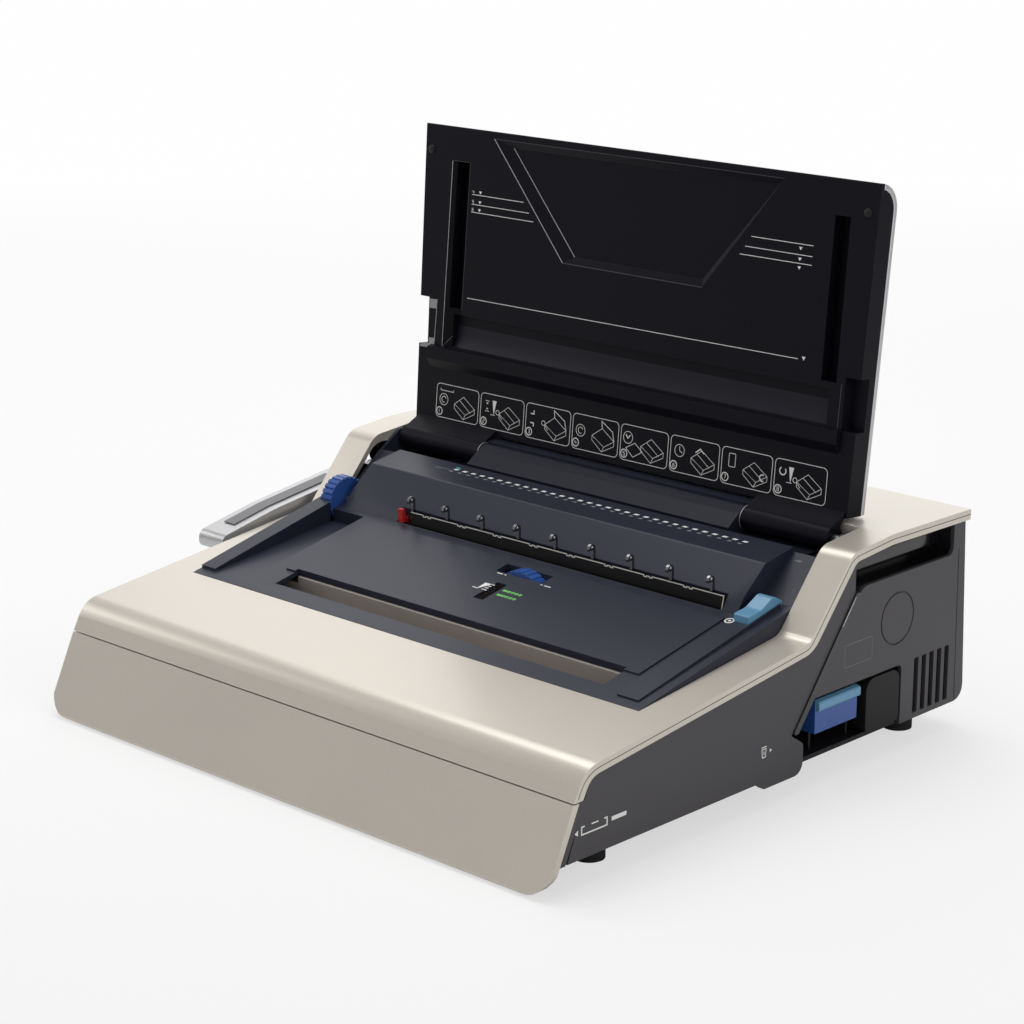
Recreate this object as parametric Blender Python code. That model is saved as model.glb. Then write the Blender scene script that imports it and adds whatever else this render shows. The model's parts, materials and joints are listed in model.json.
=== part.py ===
# Electric wire binding machine: desk model with a punch, a wire closer and a lid.
# Metres, +Z up, front towards -Y. The root empty puts the whole outline's middle over the origin.

import math

import bmesh
import bpy
from mathutils import Matrix, Vector

# Fits that many pieces share
SEAT_GAP = 0.0003
RUN_GAP = 0.0006
OVERRUN = 0.006
WALL_MARGIN = 0.00005
FILLET_REACH_SHARE = 0.49
SMOOTH_ANGLE = math.radians(35)
PITCH = 0.0254 / 3
HOLE_COUNT = 34
HOOK_COUNT = 9
HOOK_STEP = 4

# Top cover: side view corners from the drawer seam to the rear edge
BODY_WIDTH = 0.460
SEAM_Y, SEAM_Z = -0.1817, 0.0424
NOSE_Y, NOSE_Z = -0.1717, 0.0613
KINK_Y, KINK_Z = 0.0363, 0.0863
SHOULDER_Y, SHOULDER_Z = 0.0786, 0.1359
BACK_TOP_Y, BACK_TOP_Z = 0.1200, 0.1395
REAR_Y, REAR_TOP_Z = 0.2065, 0.1386
NOSE_RADIUS, KINK_RADIUS, SHOULDER_RADIUS, BACK_RADIUS = 0.030, 0.014, 0.016, 0.060
COVER_SHEET = 0.003
COVER_LIP_DEPTH, COVER_LIP_WIDTH = 0.007, 0.0035
RECESS_FRONT_Y, RECESS_REAR_Y = -0.0967, 0.1185
RECESS_RIM = 0.0255

# Side, rear and bottom panels
PANEL_INSET, PANEL_SHEET = 0.0018, 0.003
PANEL_BOTTOM_Z = 0.0056
FRONT_PANEL_TOP_Y, FRONT_PANEL_LOW_Y = -0.1660, -0.1850
TRIM_LOW_Y, TRIM_LOW_Z = 0.0220, 0.0286
TRIM_TOP_Y, TRIM_TOP_Z = 0.0837, 0.1080
TRIM_WIDTH, TRIM_PROUD = 0.0045, 0.0010
FOOT_HEEL_Y, FOOT_TOE_Y, FOOT_LOW_Z, FOOT_RADIUS = -0.0043, 0.0344, 0.0006, 0.008
GROOVE_BOTTOM_Z, GROOVE_FRONT_Y, GROOVE_REAR_Y, GROOVE_RADIUS = 0.1105, 0.0850, 0.1910, 0.010
GROOVE_DEPTH = 0.016
GRIP_BAR_LOW_Z, GRIP_BAR_HIGH_Z, GRIP_BAR_PROUD = 0.1150, 0.1270, 0.008
REAR_LOW_Y, REAR_LOW_Z, REAR_CORNER_RADIUS = 0.2092, 0.0061, 0.010
REAR_SHEET = 0.003
VENT_COUNT, VENT_PITCH, VENT_WIDTH = 5, 0.0086, 0.0048
VENT_FIRST_Y, VENT_LOW_Z, VENT_HIGH_Z = 0.1515, 0.0100, 0.0480
SERVICE_REAR_Y, SERVICE_TOP_Z = 0.1375, 0.0475
BASE_SHEET, BASE_FRONT_Y = 0.003, -0.1500
BASE_Z = 0.0060

# Deck: the moulding in the recess, and its riser
DECK_SHEET, DECK_WALL, DECK_SIDE_DROP = 0.003, 0.0025, 0.014
DECK_SLOPE = 0.2035
SLOT_FRONT_Y, SLOT_FRONT_Z = 0.0270, 0.0955
SLOT_REAR_Y, SLOT_REAR_Z = 0.0340, 0.1055
RIDGE_Y, RIDGE_Z, RIDGE_RADIUS = 0.0554, 0.1235, 0.004
STRIP_REAR_Y, STRIP_REAR_Z = 0.0838, 0.1282
POCKET_Y, POCKET_Z = 0.0530, 0.1010
RISER_LEFT_X, RISER_RIGHT_X = -0.1830, 0.1780
SLOT_LEFT_X, SLOT_RIGHT_X = -0.1290, 0.1660
THROAT_LEFT_X, THROAT_RIGHT_X, THROAT_FRONT_Y, THROAT_LIP_Y = -0.1360, 0.1630, -0.0815, -0.0600
PLATE_LEFT_X, PLATE_RIGHT_X, PLATE_PROUD, PLATE_REAR_Y = -0.1450, 0.1750, 0.0012, 0.0200
LEFT_RAIL_WIDTH, LEFT_RAIL_FRONT_RISE, LEFT_RAIL_REAR_RISE = 0.0140, 0.0020, 0.0060
RIGHT_RAIL_INNER_X, RIGHT_RAIL_OUTER_X, RIGHT_RAIL_RISE = 0.1800, 0.1970, 0.0026
RAIL_FRONT_Y, RAIL_REAR_Y = -0.0885, 0.0480
CHANNEL_INNER_X, CHANNEL_DEPTH, CHANNEL_REAR_Y = -0.1580, 0.0090, 0.0230
WINDOW_X, WINDOW_Y, WINDOW_WIDTH, WINDOW_LENGTH = 0.0108, -0.0230, 0.0090, 0.0240

# Lid: measured along its own plane, leaning back, hinged on two barrels
HINGE_Y, HINGE_Z = 0.1080, 0.1315
BARREL_RADIUS, BARREL_INNER_X, BARREL_LEFT_X, BARREL_RIGHT_X = 0.0085, 0.1205, -0.2000, 0.1920
PIN_RADIUS = 0.0030
LID_BASE_Y, LID_BASE_Z = 0.1196, 0.1425
LID_LEAN = math.radians(5.2)
LID_HEIGHT, LID_DEPTH, LID_ROUND = 0.2165, 0.0195, 0.0180
LID_LEFT_LOW_X, LID_LEFT_TOP_X, LID_RIGHT_LOW_X, LID_RIGHT_TOP_X = -0.2025, -0.2087, 0.1930, 0.1970
LID_SKIN, LID_SKIN_EDGE, LID_CAVITY_WALL = 0.0040, 0.0020, 0.0040
LEDGE_LOW, LEDGE_HIGH, LEDGE_PROUD, LEDGE_BEVEL = 0.0390, 0.0560, 0.0040, 0.0080
LID_CHANNEL_HIGH, LID_CHANNEL_DEPTH, LID_CHANNEL_SIDE = 0.0820, 0.0050, 0.001
LID_SLOT_X, LID_SLOT_WIDTH, LID_SLOT_DEPTH = 0.1690, 0.0125, 0.0110
LID_SLOT_LOW, LID_SLOT_TOP_MARGIN = 0.0860, 0.0235
FAN_TOP_LEFT_X, FAN_TOP_RIGHT_X, FAN_LOW_LEFT_X, FAN_LOW_RIGHT_X = -0.1410, 0.1200, -0.0680, 0.0585
FAN_TOP_MARGIN, FAN_LOW, FAN_DEPTH = 0.0045, 0.1320, 0.0030
NOTCH_LOW, NOTCH_HIGH, NOTCH_WIDTH, NOTCH_DEPTH = 0.0560, 0.0910, 0.0110, 0.0090

# Drawer at the front
DRAWER_TOP_GAP = 0.0008
DRAWER_LIP_Y, DRAWER_LIP_Z = -0.2065, -0.0110
DRAWER_SHEET, DRAWER_CORNER, DRAWER_LIP_ROUND = 0.0045, 0.022, 0.002
DRAWER_BACK_SHEET, DRAWER_BACK_INSET = 0.0055, 0.0012
TRAY_SIDE_ROOM, TRAY_REAR_Y, TRAY_HIGH_Z, TRAY_WALL = 0.030, -0.0300, 0.0380, 0.002
TRAY_RIB_COUNT = 3

# Lever and wire closer
LEVER_Y, LEVER_Z = 0.1306, 0.0806
LEVER_OUTER_X, LEVER_INNER_X = -0.2600, -0.2345
LEVER_TOP_Z, LEVER_BEND_Y, LEVER_BEND_Z = 0.1015, 0.0073, 0.0890
LEVER_TIP_Y, LEVER_TIP_Z, LEVER_TIP_RADIUS = -0.0440, 0.0735, 0.0090
LEVER_HUB_RADIUS, LEVER_BOSS_RADIUS, LEVER_ARM_DEPTH = 0.0190, 0.0114, 0.0120
LEVER_LOW_CORNER, LEVER_TOP_CORNER = 0.0072, 0.0063
INLAY_WIDTH, INLAY_PROUD = 0.0110, 0.0008
SHAFT_RADIUS, CRANK_PIN_RADIUS, CRANK_THICK = 0.0050, 0.0030, 0.0040
LEVER_RANGE = math.radians(70)
ROD_THICK, ROD_HEIGHT, ROD_SLOT_SIDE = 0.0040, 0.0100, 0.0022
CLOSER_TRAVEL, CLOSER_BAR_DEPTH, CLOSER_TOP_Z, CLOSER_ARM_TOP_Z = 0.0140, 0.0120, 0.0742, 0.0690
CLOSER_FLOOR_Z, JAW_THICK, JAW_TOP_Z = 0.0500, 0.0040, 0.0680

# Punch: die, pins, cams and gears
PUNCH_Z, PUNCH_CENTRE_X = 0.0960, 0.0140
DIE_FRONT_Y, DIE_REAR_Y, DIE_HEIGHT, DIE_END_MARGIN = 0.0700, 0.0840, 0.0280, 0.0210666667
PAPER_GAP, STRIPPER_THICK, HOLE_SIDE, PIN_SIDE = 0.0050, 0.0030, 0.0042, 0.0034
PUNCH_BAR_FRONT_Y, PUNCH_BAR_REAR_Y, PUNCH_BAR_HEIGHT = 0.1030, 0.1110, 0.0160
PIN_STRIP_THICK, PIN_STRIP_HEIGHT = 0.0020, 0.0090
PUNCH_TRAVEL = 0.0080
CAM_RADIUS, CAM_CLEARANCE, CAM_THICK, CAM_OFFSET_X = 0.0100, 0.0012, 0.0080, 0.1000
FRAME_THICK, FRAME_FRONT_Y, FRAME_REAR_Y = 0.0030, 0.0620, 0.1400
GEAR_MODULE, PINION_TEETH, IDLER_TEETH, WHEEL_TEETH = 0.0015, 12, 24, 30
GEAR_THICK, GEAR_SPACE = 0.0060, 0.0030
GEAR_TIP_SHARE, GEAR_ROOT_SHARE, TOOTH_FOOT_SHARE, TOOTH_TIP_SHARE = 0.9, 1.2, 0.36, 0.11
MOTOR_Y, MOTOR_Z, MOTOR_RADIUS, MOTOR_LENGTH = 0.1640, 0.0590, 0.0200, 0.0650

# Wire hooks and the edge guide
HOOK_TOP_Z, HOOK_Y, HOOK_ROD_RADIUS, HOOK_CURL_RADIUS = 0.1161, 0.0320, 0.0011, 0.0022
HOOK_CURL_TURN, HOOK_CURL_STEPS = math.radians(210), 6
HOOK_RAIL_LOW_Z, HOOK_RAIL_HIGH_Z, HOOK_RAIL_THICK = 0.0820, 0.0950, 0.0020
KNOB_Y, KNOB_Z, KNOB_RADIUS, KNOB_WIDTH, KNOB_TEETH = 0.0380, 0.0980, 0.0170, 0.0105, 24
KNOB_INNER_X, KNOB_TOOTH_DEPTH, KNOB_CREST_SHARE = -0.1905, 0.0012, 0.28
SCREW_RADIUS, STOP_TRAVEL, STOP_WIDTH = 0.0030, 0.0050, 0.0040

# Wire size wheel, its screw and pointer
SIZE_WHEEL_X, SIZE_WHEEL_Y, SIZE_WHEEL_Z = 0.0137, 0.0070, 0.0730
SIZE_WHEEL_RADIUS, SIZE_WHEEL_WIDTH, SIZE_WHEEL_RIBS = 0.0220, 0.0100, 28
SIZE_RIB_DEPTH, SIZE_CREST_SHARE = 0.0010, 0.3
SIZE_SCREW_RADIUS, SIZE_SCREW_FRONT_Y, POINTER_TRAVEL, POINTER_LENGTH = 0.0025, -0.0420, 0.0100, 0.0080

# Punch paddle and its switch
PADDLE_LEFT_X, PADDLE_RIGHT_X = 0.1840, 0.1960
PADDLE_FRONT_Y, PADDLE_REAR_Y = 0.0170, 0.0500
PADDLE_LOW_RISE, PADDLE_DIP_RISE, PADDLE_HUMP_RISE = 0.007, 0.006, 0.010
PADDLE_DIP_SHARE, PADDLE_HUMP_SHARE = 0.35, 0.75
PADDLE_SINK = 0.0060
SWITCH_SIZE = 0.0100

# Chip tray and the block behind it
CHIP_FRONT_Y, CHIP_REAR_Y, CHIP_LOW_Z, CHIP_HIGH_Z = 0.0500, 0.0940, 0.0215, 0.0440
CHIP_LEFT_X, CHIP_RIGHT_X, CHIP_WALL = -0.1450, 0.2250, 0.0018
CHIP_LIP_HEIGHT, CHIP_LIP_PROUD = 0.0070, 0.0030
BLOCK_FRONT_Y, BLOCK_REAR_Y, BLOCK_HIGH_Z, BLOCK_LEFT_X, BLOCK_RADIUS = 0.1000, 0.1360, 0.0456, 0.1950, 0.0080

# Rear fittings, board and feet
INLET_X, INLET_Z, INLET_WIDTH, INLET_HEIGHT, INLET_DEPTH = -0.1500, 0.0350, 0.0280, 0.0200, 0.0220
ROCKER_X, ROCKER_WIDTH, ROCKER_HEIGHT, ROCKER_DEPTH, ROCKER_TILT = -0.1000, 0.0140, 0.0200, 0.0080, 0.0015
BOARD_X, BOARD_Y, BOARD_WIDTH, BOARD_LENGTH = -0.0600, 0.1720, 0.1000, 0.0500
BOARD_SHEET, BOARD_RISE = 0.0016, 0.0080
PAD_RADIUS, PAD_SIDE_INSET, PAD_FRONT_Y, PAD_REAR_Y = 0.0100, 0.0300, -0.1350, 0.1750
DESK_Z = -0.0125

# Sizes that follow from those above
HALF = BODY_WIDTH / 2
PANEL_OUT = HALF - PANEL_INSET
PANEL_IN = PANEL_OUT - PANEL_SHEET
RECESS_HALF = BODY_WIDTH / 2 - RECESS_RIM
DECK_HALF = RECESS_HALF - SEAT_GAP
BASE_TOP = BASE_Z + BASE_SHEET
TRAY_LOW_Z = BASE_TOP + SEAT_GAP
CRANK_RADIUS = CLOSER_TRAVEL / math.sin(LEVER_RANGE)
SHIFT_X = -(LEVER_OUTER_X + HALF) / 2
SHIFT_Y = -(DRAWER_LIP_Y + REAR_LOW_Y) / 2
CAM_THROW = PUNCH_TRAVEL / 2
CAM_Y = PUNCH_BAR_REAR_Y + CAM_CLEARANCE + CAM_RADIUS - CAM_THROW
TRAY_WIDTH = BODY_WIDTH - 2 * TRAY_SIDE_ROOM
LID_CHANNEL_WIDTH = 2 * (LID_SLOT_X + LID_CHANNEL_SIDE)
LID_SLOT_HIGH = LID_HEIGHT - LID_SLOT_TOP_MARGIN
FAN_TOP = LID_HEIGHT - FAN_TOP_MARGIN
DIE_LENGTH = HOLE_COUNT * PITCH + 2 * DIE_END_MARGIN
FRAME_LEFT_X = PUNCH_CENTRE_X - DIE_LENGTH / 2 - SEAT_GAP
FRAME_RIGHT_X = PUNCH_CENTRE_X + DIE_LENGTH / 2 + SEAT_GAP
STRIPPER_FRONT_Y = DIE_REAR_Y + PAPER_GAP
GEAR_X = FRAME_RIGHT_X + FRAME_THICK + GEAR_SPACE
CRANK_LEFT_X = FRAME_LEFT_X + ROD_THICK + CRANK_THICK
CRANK_RIGHT_X = FRAME_RIGHT_X - ROD_THICK - CRANK_THICK

MATERIALS = {}


def clear_scene():
    for old in list(bpy.data.objects):
        bpy.data.objects.remove(old, do_unlink=True)


def material(name, color, roughness, metallic):
    made = bpy.data.materials.new(name)
    made.use_nodes = True
    shader = made.node_tree.nodes["Principled BSDF"]
    shader.inputs["Base Color"].default_value = (*color, 1)
    shader.inputs["Roughness"].default_value = roughness
    shader.inputs["Metallic"].default_value = metallic
    MATERIALS[name] = made


def make_materials():
    material("champagne", (0.72, 0.68, 0.60), 0.35, 0.5)
    material("dark_shell", (0.075, 0.065, 0.070), 0.5, 0.0)
    material("deck_navy", (0.035, 0.038, 0.060), 0.42, 0.0)
    material("lid_black", (0.010, 0.010, 0.016), 0.4, 0.0)
    material("silver", (0.60, 0.60, 0.60), 0.35, 0.6)
    material("blue", (0.02, 0.06, 0.30), 0.35, 0.0)
    material("light_blue", (0.12, 0.38, 0.60), 0.35, 0.0)
    material("red", (0.55, 0.03, 0.03), 0.4, 0.0)
    material("steel", (0.55, 0.55, 0.56), 0.3, 1.0)
    material("gloss_black", (0.01, 0.01, 0.012), 0.12, 0.0)
    material("rubber", (0.02, 0.02, 0.02), 0.9, 0.0)
    material("grey_plastic", (0.20, 0.20, 0.21), 0.5, 0.0)
    material("board_green", (0.03, 0.18, 0.08), 0.5, 0.0)
    material("clear_window", (0.30, 0.33, 0.38), 0.1, 0.0)


def make(name, bm, paint, pivot=(0, 0, 0)):
    """A mesh object under the root, with its origin on pivot."""
    bmesh.ops.recalc_face_normals(bm, faces=bm.faces)
    bmesh.ops.translate(bm, verts=bm.verts, vec=-Vector(pivot))
    mesh = bpy.data.meshes.new(name)
    bm.to_mesh(mesh)
    bm.free()
    thing = bpy.data.objects.new(name, mesh)
    thing.location = pivot
    thing.parent = bpy.data.objects["machine_frame"]
    bpy.context.scene.collection.objects.link(thing)
    if paint:
        mesh.materials.append(MATERIALS[paint])
    mesh.shade_smooth()
    mesh.set_sharp_from_angle(angle=SMOOTH_ANGLE)
    return thing


def helper(name, bm):
    """A hidden solid that a Boolean reads."""
    tool = make(name, bm, None)
    tool.hide_render = True
    tool.display_type = "WIRE"
    return tool


def boolean(thing, bm, operation):
    count = len(thing.modifiers)
    tool = helper(f"{thing.name}_tool_{count}", bm)
    step = thing.modifiers.new(f"{operation.lower()}_{count}", "BOOLEAN")
    step.operation = operation
    step.solver = "EXACT"
    step.object = tool


def cut(thing, *shapes):
    for bm in shapes:
        boolean(thing, bm, "DIFFERENCE")


def fuse(thing, *shapes):
    for bm in shapes:
        boolean(thing, bm, "UNION")


def prism(outline, low, high, axis="x"):
    """A solid with that outline, from low to high along the axis. Outlines are (y, z), (x, z) or (x, y)."""
    places = {
        "x": lambda a, b, t: (t, a, b),
        "y": lambda a, b, t: (a, t, b),
        "z": lambda a, b, t: (a, b, t),
    }[axis]
    bm = bmesh.new()
    near = [bm.verts.new(places(a, b, low)) for a, b in outline]
    far = [bm.verts.new(places(a, b, high)) for a, b in outline]
    bm.faces.new(near)
    bm.faces.new(far[::-1])
    for i in range(len(near)):
        j = (i + 1) % len(near)
        bm.faces.new((near[j], near[i], far[i], far[j]))
    return bm


def block(low, high):
    """A box between two corners."""
    (x0, y0, z0), (x1, y1, z1) = low, high
    return prism([(y0, z0), (y1, z0), (y1, z1), (y0, z1)], x0, x1)


def blocks(pairs):
    """Several boxes that don't touch, as one cutter."""
    bm = bmesh.new()
    for low, high in pairs:
        made = bmesh.ops.create_cube(bm, size=1)["verts"]
        size = [b - a for a, b in zip(low, high)]
        middle = [(a + b) / 2 for a, b in zip(low, high)]
        bmesh.ops.scale(bm, verts=made, vec=size)
        bmesh.ops.translate(bm, verts=made, vec=middle)
    return bm


def circle(a, b, radius, steps=24, start=0):
    """Points round a circle."""
    turn = 2 * math.pi / steps
    return [
        (a + radius * math.cos(start + i * turn), b + radius * math.sin(start + i * turn))
        for i in range(steps)
    ]


def rod(axis, a, b, radius, low, high, steps=24):
    """A round bar along an axis."""
    return prism(circle(a, b, radius, steps, math.pi / steps), low, high, axis)


def rounded(points, radii, steps=4):
    """A closed outline whose corners are arcs of the radii given. A radius of zero keeps the corner."""
    made = []
    for i, corner in enumerate(points):
        here = Vector(corner)
        before, after = Vector(points[i - 1]), Vector(points[(i + 1) % len(points)])
        radius = radii[i] if isinstance(radii, (list, tuple)) else radii
        if not radius:
            made.append(tuple(here))
            continue
        back, on = (before - here).normalized(), (after - here).normalized()
        half = back.angle(on) / 2
        room = FILLET_REACH_SHARE * min((before - here).length, (after - here).length)
        reach = min(radius / math.tan(half), room)
        centre = here + (back + on).normalized() * reach / math.cos(half)
        start, end = here + back * reach - centre, here + on * reach - centre
        sweep = start.angle_signed(end)
        for k in range(steps + 1):
            made.append(tuple(centre + Matrix.Rotation(-sweep * k / steps, 2) @ start))
    return made


def offset_line(points, distance):
    """The open line moved sideways, to its right as it runs."""
    moved = []
    for i, point in enumerate(points):
        before = Vector(points[max(i - 1, 0)])
        after = Vector(points[min(i + 1, len(points) - 1)])
        here = Vector(point)
        sides = []
        for a, b in ((before, here), (here, after)):
            if (b - a).length:
                run = (b - a).normalized()
                sides.append(Vector((run.y, -run.x)))
        normal = sum(sides, Vector((0, 0))).normalized()
        moved.append(tuple(here + normal * distance / normal.dot(sides[0])))
    return moved


def sheet_outline(line, thickness):
    """A closed outline: the line, and the line again one thickness below."""
    return line + offset_line(line, thickness)[::-1]


def along(a, b, y):
    """The height at y on the straight line through two points."""
    return a[1] + (b[1] - a[1]) * (y - a[0]) / (b[0] - a[0])


def cover_z(y):
    return along((NOSE_Y, NOSE_Z), (KINK_Y, KINK_Z), y)


def deck_z(y):
    return SLOT_FRONT_Z - DECK_SLOPE * (SLOT_FRONT_Y - y)


def height_on(line, y):
    """The height of a line that runs rearwards, at y."""
    for a, b in zip(line, line[1:]):
        if a[0] <= y <= b[0]:
            return along(a, b, y)
    return line[-1][1]


def stretched(line, amount):
    """The open line with both ends drawn out."""
    first, second, last, previous = map(Vector, (line[0], line[1], line[-1], line[-2]))
    start = first + (first - second).normalized() * amount
    end = last + (last - previous).normalized() * amount
    return [tuple(start), *line[1:-1], tuple(end)]


def cover_line():
    corners = [
        (SEAM_Y, SEAM_Z), (NOSE_Y, NOSE_Z), (KINK_Y, KINK_Z),
        (SHOULDER_Y, SHOULDER_Z), (BACK_TOP_Y, BACK_TOP_Z), (REAR_Y, REAR_TOP_Z),
    ]
    return rounded(corners, [0, NOSE_RADIUS, KINK_RADIUS, SHOULDER_RADIUS, BACK_RADIUS, 0], 5)


def lip_line():
    """Where the lower edge of the cover's side lips runs."""
    return offset_line(cover_line(), COVER_LIP_DEPTH + SEAT_GAP)


def make_cover():
    line = cover_line()
    cover = make("top_cover", prism(sheet_outline(line, COVER_LIP_DEPTH), -HALF, HALF), "champagne")
    long_line = stretched(line, OVERRUN)
    under = offset_line(long_line, COVER_SHEET) + offset_line(long_line, COVER_LIP_DEPTH + OVERRUN)[::-1]
    inside = HALF - COVER_LIP_WIDTH
    cut(cover, prism(under, -inside, inside))
    start, end = RECESS_FRONT_Y - COVER_LIP_WIDTH / 2, RECESS_REAR_Y + COVER_LIP_WIDTH / 2
    path = [
        (start, height_on(line, start)), *[p for p in line if start < p[0] < end],
        (end, height_on(line, end))
    ]
    rim = [(y, z - COVER_SHEET / 2) for y, z in path] + [
        (y, z - COVER_LIP_DEPTH + RUN_GAP) for y, z in path[::-1]
    ]
    edge = RECESS_HALF + COVER_LIP_WIDTH
    fuse(cover, prism(rim, -edge, -RECESS_HALF), prism(rim, RECESS_HALF, edge))
    for near, far in (
        (RECESS_FRONT_Y - COVER_LIP_WIDTH, RECESS_FRONT_Y),
        (RECESS_REAR_Y, RECESS_REAR_Y + COVER_LIP_WIDTH)
    ):
        wall = []
        for y, depth in (
            (near, COVER_LIP_DEPTH), (far, COVER_LIP_DEPTH), (far, COVER_SHEET / 2),
            (near, COVER_SHEET / 2)
        ):
            wall.append((y, height_on(line, y) - depth))
        fuse(cover, prism(wall, -RECESS_HALF - COVER_LIP_WIDTH / 2, RECESS_HALF + COVER_LIP_WIDTH / 2))
    wide = HALF + OVERRUN
    cut(cover, block((-wide, SEAM_Y - OVERRUN, SEAM_Z - 2 * OVERRUN), (wide, NOSE_Y + OVERRUN, SEAM_Z)))
    low, high = NOSE_Z - OVERRUN, BACK_TOP_Z + OVERRUN
    cut(cover, block((-RECESS_HALF, RECESS_FRONT_Y, low), (RECESS_HALF, RECESS_REAR_Y, high)))


def trim_y(z):
    """The front panel's rear edge, where the glossy strip starts."""
    return TRIM_LOW_Y + (TRIM_TOP_Y - TRIM_LOW_Y) * (z - TRIM_LOW_Z) / (TRIM_TOP_Z - TRIM_LOW_Z)


def trim_shift():
    """How far behind the front panel's edge the rear panel starts, along Y."""
    rise, run = TRIM_TOP_Z - TRIM_LOW_Z, TRIM_TOP_Y - TRIM_LOW_Y
    return (TRIM_WIDTH + 2 * SEAT_GAP) * math.hypot(rise, run) / rise


def side(name, outline, inner, outer, paint, left):
    """A side piece between two distances from the middle, on the left or the right."""
    low, high = (-outer, -inner) if left else (inner, outer)
    return make(name, prism(outline, low, high), paint)


def make_front_panel(left):
    lips = lip_line()
    start_y, end_y = FRONT_PANEL_TOP_Y, TRIM_TOP_Y
    top = [(y, z) for y, z in lips if start_y < y < end_y]
    outline = [(start_y, height_on(lips, start_y) - SEAT_GAP), *top, (end_y, height_on(lips, end_y))]
    foot = [
        (TRIM_TOP_Y, TRIM_TOP_Z), (TRIM_LOW_Y, TRIM_LOW_Z), (FOOT_TOE_Y, TRIM_LOW_Z - FOOT_RADIUS),
        (FOOT_TOE_Y, FOOT_LOW_Z), (FOOT_HEEL_Y, FOOT_LOW_Z), (FOOT_HEEL_Y - FOOT_RADIUS, PANEL_BOTTOM_Z),
        (FRONT_PANEL_LOW_Y, PANEL_BOTTOM_Z),
    ]
    radii = [0] * len(outline) + [0, 0, FOOT_RADIUS / 2, FOOT_RADIUS, FOOT_RADIUS / 2, 0, 0]
    name = "left_front_panel" if left else "right_front_panel"
    side(name, rounded(outline + foot, radii), PANEL_IN, PANEL_OUT, "dark_shell", left)


def make_trim(left):
    shift = SEAT_GAP * trim_shift() / TRIM_WIDTH
    width = TRIM_WIDTH * trim_shift() / (TRIM_WIDTH + 2 * SEAT_GAP)
    outline = [
        (trim_y(TRIM_LOW_Z) + shift, TRIM_LOW_Z), (trim_y(TRIM_LOW_Z) + shift + width, TRIM_LOW_Z),
        (TRIM_TOP_Y + shift + width, TRIM_TOP_Z), (TRIM_TOP_Y + shift, TRIM_TOP_Z),
    ]
    name = "left_trim" if left else "right_trim"
    side(name, rounded(outline, TRIM_WIDTH / 3), PANEL_IN, PANEL_OUT + TRIM_PROUD, "gloss_black", left)


def make_rear_side_panel(left):
    lips = lip_line()
    step = trim_shift()
    outline = [
        (trim_y(GROOVE_BOTTOM_Z) + step, GROOVE_BOTTOM_Z), (GROOVE_REAR_Y, GROOVE_BOTTOM_Z),
        (GROOVE_REAR_Y, height_on(lips, GROOVE_REAR_Y)),
        (REAR_Y - COVER_SHEET, height_on(lips, REAR_Y - COVER_SHEET)),
        (REAR_LOW_Y, REAR_LOW_Z),
    ]
    radii = [GROOVE_RADIUS, GROOVE_RADIUS / 2, 0, 0, REAR_CORNER_RADIUS]
    if left:
        toe = FOOT_TOE_Y + step
        outline += [
            (toe, REAR_LOW_Z), (toe, TRIM_LOW_Z - FOOT_RADIUS), (trim_y(TRIM_LOW_Z) + step, TRIM_LOW_Z)
        ]
        radii += [0, 0, 0]
    else:
        outline += [
            (SERVICE_REAR_Y, REAR_LOW_Z), (SERVICE_REAR_Y, SERVICE_TOP_Z),
            (trim_y(SERVICE_TOP_Z) + step, SERVICE_TOP_Z),
        ]
        radii += [0, FOOT_RADIUS / 2, 0]
    name = "left_rear_panel" if left else "right_rear_panel"
    panel = side(name, rounded(outline, radii), PANEL_IN, PANEL_OUT, "dark_shell", left)
    sign = -1 if left else 1
    near, far = sorted((sign * (PANEL_IN - OVERRUN), sign * (PANEL_OUT + OVERRUN)))
    vents = []
    for i in range(VENT_COUNT):
        y = VENT_FIRST_Y + i * VENT_PITCH
        vents.append(((near, y, VENT_LOW_Z), (far, y + VENT_WIDTH, VENT_HIGH_Z)))
    cut(panel, blocks(vents))
    if left:
        cut(panel, rod("x", LEVER_Y, LEVER_Z, SHAFT_RADIUS + RUN_GAP, near, far))
        return
    ring = LEVER_HUB_RADIUS - TRIM_PROUD
    cut(panel, rod("x", LEVER_Y, LEVER_Z, ring, PANEL_OUT - TRIM_PROUD, far, 32))
    fuse(panel, rod("x", LEVER_Y, LEVER_Z, ring - TRIM_PROUD, PANEL_IN + TRIM_PROUD, PANEL_OUT, 32))


def make_grip(left):
    """The carry groove's floor, back wall and finger bar, as one moulding."""
    out = PANEL_IN - SEAT_GAP
    back = out - GROOVE_DEPTH
    top = height_on(lip_line(), GROOVE_FRONT_Y) - SEAT_GAP
    floor = GROOVE_BOTTOM_Z
    outline = [
        (out, floor - COVER_SHEET), (out, floor), (back, floor), (back, GRIP_BAR_LOW_Z),
        (back + GRIP_BAR_PROUD, GRIP_BAR_LOW_Z), (back + GRIP_BAR_PROUD, GRIP_BAR_HIGH_Z), (back, top),
        (back - TRIM_PROUD, top), (back - TRIM_PROUD, floor - COVER_SHEET),
    ]
    radii = [0, 0, 0, 0, GRIP_BAR_PROUD / 3, GRIP_BAR_PROUD / 3, 0, 0, 0]
    outline = rounded(outline, radii)
    if left:
        outline = [(-x, z) for x, z in outline]
    name = "left_grip" if left else "right_grip"
    make(name, prism(outline, GROOVE_FRONT_Y, GROOVE_REAR_Y - SEAT_GAP, "y"), "gloss_black")


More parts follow.
